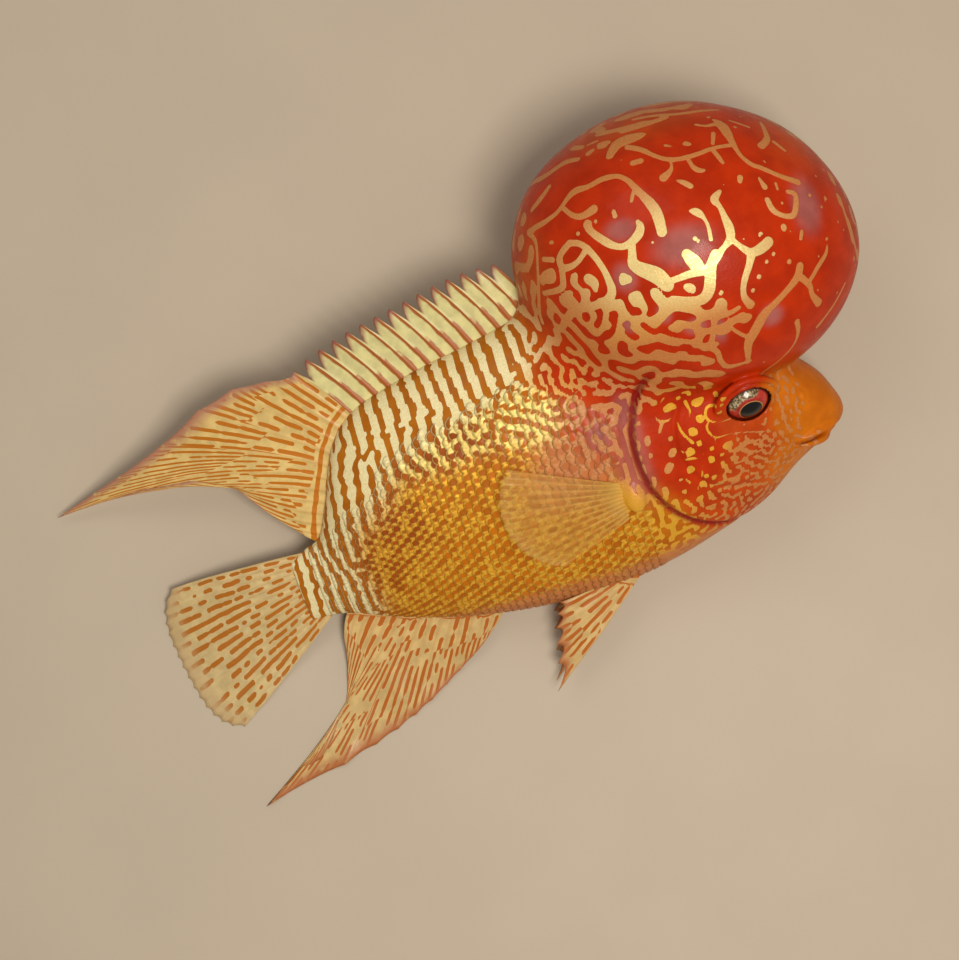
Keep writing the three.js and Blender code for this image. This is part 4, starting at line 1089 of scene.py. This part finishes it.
back_of = scale_at[:, None, 0] - round_a[None, :] * PLATE_REACH[0] * scale_size[:, None]
slope = slope_of(bare_flank, scale_at)
upward = np.cross(slope, [-1, 0, 0])
upward /= np.linalg.norm(upward, axis=1)[:, None]
sideways = (round_b * PLATE_REACH[1])[None, :, None] * scale_size[:, None, None]
plates = scale_at[:, None] + upward[:, None] * sideways
plates[..., 0] = back_of
plates = settle(bare_flank, plates.reshape(-1, 3), 2)
normal = slope_of(bare_flank, plates)
normal /= np.linalg.norm(normal, axis=1)[:, None]
free = smoothstep(-0.9, 0.9, round_a)
scale_spotted = zoned(zone_weights(scale_at), SPOTTED)
relief = mix(FLAT_RELIEF, 1, np.clip(scale_spotted * 1.6, 0, 1))
lift = mix(*PLATE_LIFT, free)[None, :] * relief[:, None] - PLATE_CURL * round_b[None, :] ** 2
lift = lift.reshape(-1, 1)
top = (plates + normal * lift).reshape(len(scale_at), -1, 3)
bottom = (plates + normal * (lift - PLATE_THICK)).reshape(len(scale_at), -1, 3)
plates = np.concatenate([top, bottom], 1)
kept = (scale_spotted > BARE) & (plates[..., 2].min(1) > LEAST_OUT)
plates, plate_share = plates[kept], scale_share[kept]

material, wire, shader = wet_skin("scales")
length, width, chance = wire.attribute("flake", "Vector").parts()
mask = (wire.attribute("pattern") + (wire.noise(1.8, 3) - 0.5) * 1.1).step(-0.4, 0.6)
ground = wire.attribute("ground", "Color").tint(chance.blend((0.82, 0.78, 0.75), (1.12, 1.12, 1.1)))
grain = wire.noise(0.8, 2).step(0.3, 0.7)
pale = wire.attribute("pale", "Color").tint(grain.blend((0.86, 0.78, 0.68), (1.1, 1.14, 1.2)))
out = (length * length + width * width) ** 0.5
rim = out.step(0.78, 0.92) * length.step(-0.2, 0.3)
feed(shader, "Base Color", mask.most(rim * 0.55).blend(ground, pale))
feed(shader, "Metallic", wire.attribute("shine") * mask * chance.step(0.2, 1.0, 0.15, 0.6))
feed(shader, "Roughness", wire.noise(2.5, 2).step(0.2, 0.8, 0.3, 0.48))
ridges = (out * RIDGES).sine() * 0.5 + 0.5
feed(shader, "Normal", bump(wire, ridges * 0.35 + wire.noise(0.9, 3) * 0.65, RIDGE_RELIEF))
for name, side in (("scales_right", 1), ("scales_left", -1)):
    places = plates.reshape(-1, 3) * [1, 1, side]
    near = [skin_tree.find_n(place, NEIGHBOURS) for place in places]
    nearest = np.array([[found[1] for found in group] for group in near])
    share = 1 / (np.array([[found[2] for found in group] for group in near]) + 0.08) ** 2
    share /= share.sum(1)[:, None]
    faces = (np.arange(len(plates))[:, None, None] * plates.shape[1] + plate_faces).reshape(-1, 4)
    if side < 0:
        faces = faces[:, ::-1]
    local = np.stack([round_a, round_b, 0 * round_a], 1)
    local = np.tile(np.concatenate([local, local]), (len(plates), 1))
    local[:, 2] = np.repeat(np.random.default_rng(3).uniform(0, 1, len(plates)), plates.shape[1])
    attributes = {}
    for key in ("pattern", "ground", "pale", "shine"):
        values = skin_attributes[key][nearest]
        attributes[key] = (values * share.reshape(*share.shape, *[1] * (values.ndim - 2))).sum(1)
    piece = new_piece(name, places, faces, material, {**attributes, "flake": local})
    # On the unwrap the two flanks meet along the back
    root = np.stack([0.03 + (plates[:, 0, 0] + 175) / 180, 0.25 + side * 0.24 * (1 - plate_share)], 1)
    patch = np.repeat(root, plates.shape[1], axis=0) + PLATE_PATCH * local[:, :2]
    unwrap = piece.data.uv_layers.new(name="OFBake")
    unwrap.data.foreach_set("uv", patch[faces.ravel()].ravel())

# Back fin. Like every fin it is a fan of rays, stiff spines in front and soft rays behind, with thin clear
# skin between them that ripples, is notched at the margin and lies down where it meets the floor.

FIN_CLEARANCE = 0.25
FIN_RELIEF = 0.12
LOBE_SHARE = 0.86  # of the way to the next spine, where a lobe of the spiny margin ends
FORK_FROM = 0.45  # the share of a soft ray's length before it forks
FORK_SPREAD = 0.24
BAR_PITCH = 4.6  # between the bars across a fin's foot


def curve_points(rays, index, t):
    """Points on rays, each (root, bend, tip), at the share t of the way out."""
    root, bend, tip = (np.array([ray[k] for ray in rays], float)[index] for k in range(3))
    t = t[..., None]
    return (1 - t) ** 2 * root + 2 * t * (1 - t) * bend + t * t * tip


def between_rays(part):
    """A margin that dips evenly between two rays."""
    return 4 * part * (1 - part)


def behind_spine(part):
    """A margin that falls away behind each spine and leaves the front of the next one bare."""
    return np.where(part < LOBE_SHARE, (part / LOBE_SHARE) ** 1.7, (1 - part) / (1 - LOBE_SHARE))


def fin_mesh(
    rays,
    middle,
    rows=26,
    between=8,
    notch=0.04,
    margin=between_rays,
    thick=(1.35, 0.5),
    web=0.3,
    ripple=0.35,
    fork=True,
):
    """Both faces of a fin, with attributes that tell a place's ray and how far out it lies."""
    count = len(rays)
    columns = (count - 1) * between + 1
    u = np.linspace(0, count - 1, columns)[:, None] * np.ones(rows + 1)
    t = np.linspace(0, 1, rows + 1)[None, :] * np.ones((columns, 1))
    first = np.minimum(u.astype(int), count - 2)
    part = u - first
    set_back = t * (1 - notch * margin(part) * smoothstep(0.2, 1, t))
    ahead, behind = curve_points(rays, first, set_back), curve_points(rays, first + 1, set_back)
    plane = mix(ahead, behind, part[..., None])
    gap = np.linalg.norm(curve_points(rays, first, t) - curve_points(rays, first + 1, t), axis=-1)
    off_ray = np.minimum(part, 1 - part) * gap
    width = mix(thick[0], thick[1], t**0.8)
    ridge = bell(off_ray, width * 0.55)
    if fork:
        side = np.abs(off_ray - gap * FORK_SPREAD * smoothstep(FORK_FROM, 2 * FORK_FROM, t))
        forked = np.maximum(0.75 * bell(side, width * 0.5), 0.35 * ridge)
        ridge = np.where(t > FORK_FROM, forked, ridge)
    half = (web + np.maximum(width - web, 0) * ridge) / 2 * smoothstep(1.25, 0.75, t)
    x, y = plane[..., 0], plane[..., 1]
    sway = np.sin(math.pi * part) * np.sin(u * 2.1 + 5 * t) + 1.4 * np.sin(0.16 * x + 0.1 * y)
    sway = ripple * t * sway
    z = middle(x, y, half + np.abs(sway)) + sway
    reach = np.linalg.norm(np.array([tip - root for root, _, tip in rays]), axis=1)
    length = mix(reach[first], reach[first + 1], part)
    upper = np.stack([x, y, z + half], -1).reshape(-1, 3)
    lower = np.stack([x, y, z - half], -1).reshape(-1, 3)
    at = np.arange(columns * (rows + 1)).reshape(columns, rows + 1)
    quads = np.stack([at[:-1, :-1], at[1:, :-1], at[1:, 1:], at[:-1, 1:]], -1).reshape(-1, 4)
    rim = np.concatenate([at[:, 0], at[-1, 1:], at[-2::-1, -1], at[0, -2:0:-1]])
    joined = np.roll(rim, -1)
    n = at.size
    wall = np.stack([joined, rim, rim + n, joined + n], 1)
    a, b, d = upper[quads[0, 0]], upper[quads[0, 1]], upper[quads[0, 3]]
    faces = np.concatenate([quads, quads[:, ::-1] + n, wall])
    if np.cross(b - a, d - a)[2] < 0:
        faces = faces[:, ::-1]
    place = np.stack([u, t * length, t], -1).reshape(-1, 3)
    attributes = {
        "place": np.concatenate([place, place]),
        "ridge": np.tile(ridge.ravel(), 2),
        "gap": np.tile(gap.ravel(), 2),
    }
    return np.concatenate([upper, lower]), faces, attributes


def floor_z(x, y):
    """The floor's height in the fish's frame, below a place of the side view."""
    up = lay_down[2]
    return -(HUMP_HEIGHT + x * up[0] + y * up[1]) / up[2]


def laid_fin(sink):
    """A middle plane that sinks towards the tips and lies down on the floor."""
    return lambda x, y, half: smooth_max(sink(x, y), floor_z(x, y) + half + FIN_CLEARANCE, 5)


def fin_material(name, skin_colour, mark_colour, edge_colour, marks, clear=0.12, clear_from=0.9):
    """Clear fin skin with marks between the rays. `marks` turns the place wires into a mask of the marks."""
    made, wire, shader = new_material(
        name,
        Roughness=0.5,
        Coat_Weight=0.15,
        Coat_Roughness=0.2,
        Specular_IOR_Level=0.2,
        Subsurface_Weight=0.08,
        Subsurface_Scale=0.002,
        Subsurface_Radius=(1.0, 0.5, 0.25),
    )
    parts = wire.attribute("place", "Vector").parts()
    ridge = wire.attribute("ridge")
    row = parts[0].floor()
    mask = marks(wire, parts, row, parts[0] - row, wire.attribute("gap"))
    dark, light = ([c * share for c in skin_colour] for share in (0.86, 1.12))
    tone = wire.noise(4, 3).step(0.25, 0.75).blend(dark, light)
    tone = (ridge * 0.5).blend(tone, [c * s for c, s in zip(skin_colour, (0.8, 0.68, 0.55))])
    edge = parts[2].step(0.86, 1.0) * wire.noise(3, 2).step(0.1, 0.5)
    feed(shader, "Base Color", edge.blend(mask.blend(tone, mark_colour), edge_colour))
    feed(shader, "Alpha", 1 - parts[2].step(0.0, clear_from) * (1 - ridge * 0.45) * clear)
    feed(shader, "Normal", bump(wire, wire.noise(0.7, 3) * 0.6 + ridge * 0.4, FIN_RELIEF))
    return made


def dashes(size_along, gaps, seed, foot=0.0, half=0.95, row_pitch=3.7):
    """Rows of long dashes with round ends between the rays, with bars across the foot of the fin.

    A row splits in two wherever its rays have spread far apart. More `gaps` leave more room between the
    dashes, and `half` is the most that half a dash's width can be.
    """

    def mask(wire, parts, row, part, gap):
        _, along_ray, out = parts
        wander = (wire.noise(6, 2) - 0.5) * 1.2
        doublings = wire.maths("LOGARITHM", gap * (1 / row_pitch), 2.0)
        halvings = (doublings + 0.42).floor().most(0.0)
        lanes = 2.0 ** halvings
        lane = part * lanes
        step = lane.floor()
        row = row + step * 0.31 + halvings * 20
        wide = gap / lanes
        aside = (lane - step - 0.5) * wide + wander
        spread = {0: row * 5.37, 1: along_ray * (1 / size_along), 2: seed}
        at = wire.node("ShaderNodeCombineXYZ", {}, spread)
        field = wire.node("ShaderNodeTexNoise", {}, {"Vector": at, "Scale": 1.0, "Detail": 0.3})
        outer = out.step(0.25, 0.5) * out.step(0.98, 0.75)
        lasting = ((field - gaps + outer * 0.05) * 14).least(1.0)
        across = aside / (wide * 0.28).least(half)
        marks = (lasting - across * across).step(-0.1, 0.2)
        if not foot:
            return marks
        waves = (along_ray + (wire.noise(9, 2) - 0.5) * 3) * (2 * math.pi / BAR_PITCH)
        bars = waves.sine().step(0.1, 0.4)
        near_foot = (along_ray + (wire.noise(9, 2) - 0.5) * 8).step(foot + 0.6, foot)
        return marks * (1 - near_foot) + bars * near_foot

    return mask


def spine_stripes(wire, parts, row, part, gap):
    """A thin brown line down the front of each lobe, and brown tongues in from the back between them."""
    wander = wire.noise(5, 3) - 0.5
    front = (part + wander * 0.25).step(0.24, 0.14)
    between = (0.5 - (part + wander * 0.3)).size().step(0.26, 0.34)
    tongue = between * (parts[2] + wander * 0.7).step(0.5, 0.36)
    return front.most(tongue)


SPINES = 15
SPINE_ROOTS_X = (-52, -128.6)  # the first spine's and the last one's
SPINE_LEAN = (12.5, 15.5)
SPINE_RISE = (25, 24)
SPINE_ARCH = 1.5  # how much further the middle spines reach
SPINE_BEND = (1.2, 1.6)
ROOT_DEPTH = 4.0  # of a fin's rays in the flesh
spine_x = np.linspace(*SPINE_ROOTS_X, SPINES)
spine_share = np.linspace(0, 1, SPINES)
spine_root = np.stack([spine_x, along(STATIONS, spine_x, 1) - ROOT_DEPTH], 1)
spine_rise = mix(*SPINE_RISE, spine_share) + SPINE_ARCH * np.sin(math.pi * spine_share)
spine_tip = spine_root + np.stack([-mix(*SPINE_LEAN, spine_share), spine_rise], 1)
spine_bend = (spine_root + spine_tip) / 2 + SPINE_BEND
spiny_rays = list(zip(spine_root, spine_bend, spine_tip))

SOFT_ROOTS = np.array(
    [[-130.6, -24], [-134.2, -26.5], [-137.5, -30], [-140, -34], [-142.2, -38.2], [-144.2, -42.4],
     [-146.1, -46.5], [-148, -50.4], [-149.8, -54.2], [-151.4, -57.8], [-152.8, -61.2], [-154, -64.4]]
)
SOFT_TIPS = np.array(
    [[-146.2, -1.5], [-155.5, -0.2], [-168, 0.4], [-183, -3.6], [-203, -13.5], [-250, -29.5],
     [-214, -26.6], [-191, -28.2], [-181, -34], [-175.5, -42], [-170, -50], [-163.5, -57]]
)


def leaning(roots, tips, first_rise, last_rise, reach, power=1.0):
    """Rays that leave their roots at a given rise and then bend to their tips."""
    length = np.linalg.norm(tips - roots, axis=1)
    rise = np.radians(mix(first_rise, last_rise, np.linspace(0, 1, len(roots)) ** power))
    bend = roots + reach * length[:, None] * np.stack([-np.cos(rise), np.sin(rise)], 1)
    return list(zip(roots, bend, tips))


DORSAL_SINK = 0.0013  # how soon the soft rays lean over towards the floor, behind the last spine
DORSAL_SINK_X = -132.0
soft_rays = leaning(SOFT_ROOTS, SOFT_TIPS, first_rise=59, last_rise=4, reach=0.45, power=0.8)


def dorsal_sink(x, y):
    return -DORSAL_SINK * np.maximum(0, DORSAL_SINK_X - x) ** 2


spiny_look = fin_material(
    "spiny_fin_skin",
    skin_colour=(0.70, 0.62, 0.27),
    mark_colour=(0.40, 0.115, 0.02),
    edge_colour=(0.30, 0.10, 0.07),
    marks=spine_stripes,
    clear=0.1,
)
soft_look = fin_material(
    "soft_fin_skin",
    skin_colour=(0.76, 0.53, 0.19),
    mark_colour=(0.55, 0.17, 0.006),
    edge_colour=(0.46, 0.20, 0.12),
    marks=dashes(size_along=6.0, gaps=0.40, seed=3.0, foot=8),
)
points, faces, attributes = fin_mesh(
    spiny_rays,
    lambda x, y, half: np.zeros_like(x),
    rows=22,
    between=14,
    notch=0.24,
    margin=behind_spine,
    thick=(1.2, 0.4),
    ripple=0.2,
    fork=False,
)
piece = new_piece("dorsal_fin_front", points, faces, spiny_look, attributes)
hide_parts("dorsal_fin_spiny")
joined = [spiny_rays[-1], *soft_rays]
points, faces, attributes = fin_mesh(joined, laid_fin(dorsal_sink), rows=40, notch=0.012)
piece = new_piece("dorsal_fin_rear", points, faces, soft_look, attributes)
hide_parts("dorsal_fin_soft")

# Tail fin: a rounded fan of forked soft rays out of the tail stem, with broken orange bars on the pale skin
# between them. It sinks until it lies on the floor.

TAIL_RAYS = 16
TAIL_ROOT_X = -161.0
TAIL_ROOTS_Y = (-66, -91.5)  # the highest ray's and the lowest one's
TAIL_DROOP = 17.0
TAIL_SPREAD = 17.0
TAIL_LENGTH = 64.0
TAIL_SINK = 0.002  # how soon the fin leans down towards the floor
tail_t = np.linspace(-1, 1, TAIL_RAYS)
tail_root = np.stack([np.full(TAIL_RAYS, TAIL_ROOT_X), mix(*TAIL_ROOTS_Y, (tail_t + 1) / 2)], 1)
tail_angle = np.radians(-TAIL_DROOP - TAIL_SPREAD * tail_t)
tail_reach = TAIL_LENGTH * (1 - 0.13 * tail_t**4)
tail_tip = tail_root + tail_reach[:, None] * np.stack([-np.cos(tail_angle), np.sin(tail_angle)], 1)
tail_bend = (tail_root + tail_tip) / 2 - np.stack([0 * tail_t, 2.4 * tail_t], 1)
tail_look = fin_material(
    "tail_fin_skin",
    skin_colour=(0.70, 0.52, 0.24),
    mark_colour=(0.50, 0.16, 0.012),
    edge_colour=(0.62, 0.42, 0.2),
    marks=dashes(size_along=4.5, gaps=0.45, seed=8.0, foot=4),
    clear=0.18,
)
tail_rays = list(zip(tail_root, tail_bend, tail_tip))


def tail_sink(x, y):
    return -TAIL_SINK * (x - TAIL_ROOT_X) ** 2


points, faces, attributes = fin_mesh(tail_rays, laid_fin(tail_sink), rows=34, notch=0.012)
piece = new_piece("tail_fin_fan", points, faces, tail_look, attributes)
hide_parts("tail_fin")

# Anal fin: soft rays below the belly that draw out into a long streamer under the tail, with orange dashes
# on the skin between them. Towards its tip it lies on the floor.

ANAL_RAYS = 16
ANAL_ROOTS_X = (-99, -154)
ANAL_ROOT_DEPTH = 3.5
ANAL_TIPS = np.array(
    [[-107, -116.5], [-112, -120.5], [-117.5, -124.3], [-123.5, -128], [-130, -131.5], [-137, -135],
     [-144.5, -138.3], [-152.5, -141.3], [-162, -144], [-175, -146.8], [-208, -152], [-183, -142],
     [-172, -133], [-166.5, -123], [-163, -113], [-161, -103.5]]
)
anal_x = np.linspace(*ANAL_ROOTS_X, ANAL_RAYS)
anal_root = np.stack([anal_x, along(STATIONS, anal_x, 2) + ANAL_ROOT_DEPTH], 1)
anal_look = fin_material(
    "anal_fin_skin",
    skin_colour=(0.68, 0.46, 0.18),
    mark_colour=(0.50, 0.13, 0.010),
    edge_colour=(0.50, 0.16, 0.05),
    marks=dashes(size_along=7.0, gaps=0.43, seed=5.0, foot=5),
)
anal_rays = leaning(anal_root, ANAL_TIPS, first_rise=-64, last_rise=-40, reach=0.42)
points, faces, attributes = fin_mesh(anal_rays, laid_fin(lambda x, y: 0 * x), rows=34, notch=0.015)
piece = new_piece("anal_fin_fan", points, faces, anal_look, attributes)
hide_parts("anal_fin")

# Pectoral and pelvic fins, of clear skin on fine rays. The right pectoral lies back on the flank and the
# left one is pressed under the body; the pelvic pair trails below the belly.

PECTORAL_RAYS = 12
PECTORAL_ROOT = (-41, -75.5)
PECTORAL_ROOT_REACH = (1, -5.5)  # from the middle ray's root to the last one's
PECTORAL_FAN = (152, 199)  # where the first and the last ray point
PECTORAL_LENGTH = 47.0
clear_look = fin_material(
    "clear_fin_skin",
    skin_colour=(0.80, 0.46, 0.09),
    mark_colour=(0.60, 0.26, 0.03),
    edge_colour=(0.80, 0.50, 0.14),
    marks=dashes(size_along=9.0, gaps=0.9, seed=2.0),
    clear=0.86,
    clear_from=0.3,
)


def pectoral_rays(turn):
    """Straight rays whose whole fan is turned by some degrees."""
    t = np.linspace(-1, 1, PECTORAL_RAYS)
    root = PECTORAL_ROOT + t[:, None] * PECTORAL_ROOT_REACH
    angle = np.radians(np.linspace(*PECTORAL_FAN, PECTORAL_RAYS) + turn)
    length = PECTORAL_LENGTH * (1 - 0.16 * t * t - 0.1 * t)
    tip = root + length[:, None] * np.stack([np.cos(angle), np.sin(angle)], 1)
    return list(zip(root, (root + tip) / 2, tip))


def over_flank(x, y, half):
    """Rooted in the right flank and lifting off it towards the tips."""
    out = np.clip((-44 - x) / 40, 0, 1)
    return side_height(flesh_distance, x, y) - 1.4 + 6.6 * np.sqrt(out) + 3 * out * out


def under_flank(x, y, half):
    """Between the left flank and the floor."""
    out = np.clip((-42 - x) / 12, 0, 1)
    low = -side_height(flesh_distance, x, y) + 1.2 - 3 * out
    return np.maximum(low, floor_z(x, y) + half + FIN_CLEARANCE)


for name, turn, middle in (("right", 0, over_flank), ("left", -17, under_flank)):
    points, faces, attributes = fin_mesh(
        pectoral_rays(turn), middle, notch=0.012, thick=(0.8, 0.3), web=0.2, ripple=0.2
    )
    piece = new_piece(f"pectoral_fan_{name}", points, faces, clear_look, attributes)
    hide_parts(f"pectoral_fin_{name}")

PELVIC_RAYS = 6
PELVIC_ROOT = (-48, -110)
PELVIC_ROOT_REACH = (-6.5, 2.6)  # from the first ray's root to the last one's
PELVIC_FAN = (218, 186)
PELVIC_LENGTHS = (54, 25)
PELVIC_APART = 6.0  # half the distance between the pair's roots
for name, side in (("right", 1), ("left", -1)):
    t = np.linspace(0, 1, PELVIC_RAYS)
    root = PELVIC_ROOT + t[:, None] * PELVIC_ROOT_REACH
    angle = np.radians(mix(*PELVIC_FAN, t))
    tip = root + mix(*PELVIC_LENGTHS, t**0.7)[:, None] * np.stack([np.cos(angle), np.sin(angle)], 1)
    bend = mix(root, tip, 0.45) - [0, 1.5]
    points, faces, attributes = fin_mesh(
        list(zip(root, bend, tip)),
        laid_fin(lambda x, y: side * (PELVIC_APART + 0.12 * (PELVIC_ROOT[0] - x))),
        notch=0.08,
    )
    piece = new_piece(f"pelvic_fan_{name}", points, faces, anal_look, attributes)
    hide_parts(f"pelvic_fin_{name}")

# Eyes: a glossy ball in each socket, with a black pupil, a thin gold ring, a blood-red iris that is mottled
# at the top, and a dark outer rim.

EYE_RINGS = 40
EYE_SIDES = 64
EYE_PLAY = 0.45  # how much smaller than the eye's radius the ball is
CORNEA = 0.55  # how far its front bulges out
PUPIL = 4.25  # distances from the middle of the eye, over its surface
GOLD_RING = 4.5
IRIS = 4.75
DARK_RIM = (8.3, 9.2)
PUPIL_BLACK = (0.003, 0.002, 0.002)
RING_GOLD = (0.55, 0.3, 0.08)
IRIS_RED = ((0.26, 0.006, 0.004), (0.50, 0.035, 0.02))
MOTTLE = ((0.10, 0.055, 0.02), (0.50, 0.42, 0.24))
RIM_BROWN = (0.05, 0.012, 0.008)


def eye_mesh(side):
    """A ball round the eye's axis, with each point's place across and up the eye, in millimetres."""
    rings, around = EYE_RINGS, EYE_SIDES
    polar = np.linspace(0, math.pi, rings + 1)[:, None]
    turn = np.linspace(0, 2 * math.pi, around, endpoint=False)[None, :]
    radius = EYE_RADIUS - EYE_PLAY + CORNEA * bell(polar, 0.45)
    across = radius * np.sin(polar) * np.cos(turn)
    up = radius * np.sin(polar) * np.sin(turn)
    out = radius * np.cos(polar) + 0 * turn
    flip = np.array([1, 1, side])
    axes = [axis * flip for axis in (eye_side, eye_up, EYE_AXIS)]
    points = eye_centre * flip
    for amount, axis in zip((across, up, out), axes):
        points = points + amount[..., None] * axis
    at = np.arange((rings + 1) * around).reshape(rings + 1, around)
    right = np.roll(at, -1, 1)
    quads = np.stack([at[:-1], at[1:], right[1:], right[:-1]], -1).reshape(-1, 4)
    if side < 0:
        quads = quads[:, ::-1]
    place = np.stack([across, up, polar * EYE_RADIUS + 0 * turn], -1).reshape(-1, 3)
    return points.reshape(-1, 3), quads, {"place": place}


material, wire, shader = new_material(
    "eye", Roughness=0.2, Coat_Weight=0.6, Coat_Roughness=0.03, Specular_IOR_Level=0.2
)
across, up, out = wire.attribute("place", "Vector").parts()
streak = wire.noise(1.1, 3)
iris = (streak * 0.7 + out.step(4, 7) * 0.4).step(0.2, 0.8).blend(*IRIS_RED)
mottle = wire.noise(0.9, 3).step(0.42, 0.62).blend(*MOTTLE)
cap = (up - across * 0.45 + (streak - 0.5) * 3).step(3.2, 4.6)
iris = (cap * out.step(5.4, 6.2)).blend(iris, mottle)
iris = out.step(IRIS, GOLD_RING).blend(iris, RING_GOLD)
iris = out.step(GOLD_RING, PUPIL).blend(iris, PUPIL_BLACK)
feed(shader, "Base Color", out.step(*DARK_RIM).blend(iris, RIM_BROWN))
for name, side in (("eye_right", 1), ("eye_left", -1)):
    points, faces, attributes = eye_mesh(side)
    piece = new_piece(f"{name}_ball", points, faces, material, attributes)
    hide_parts(name)
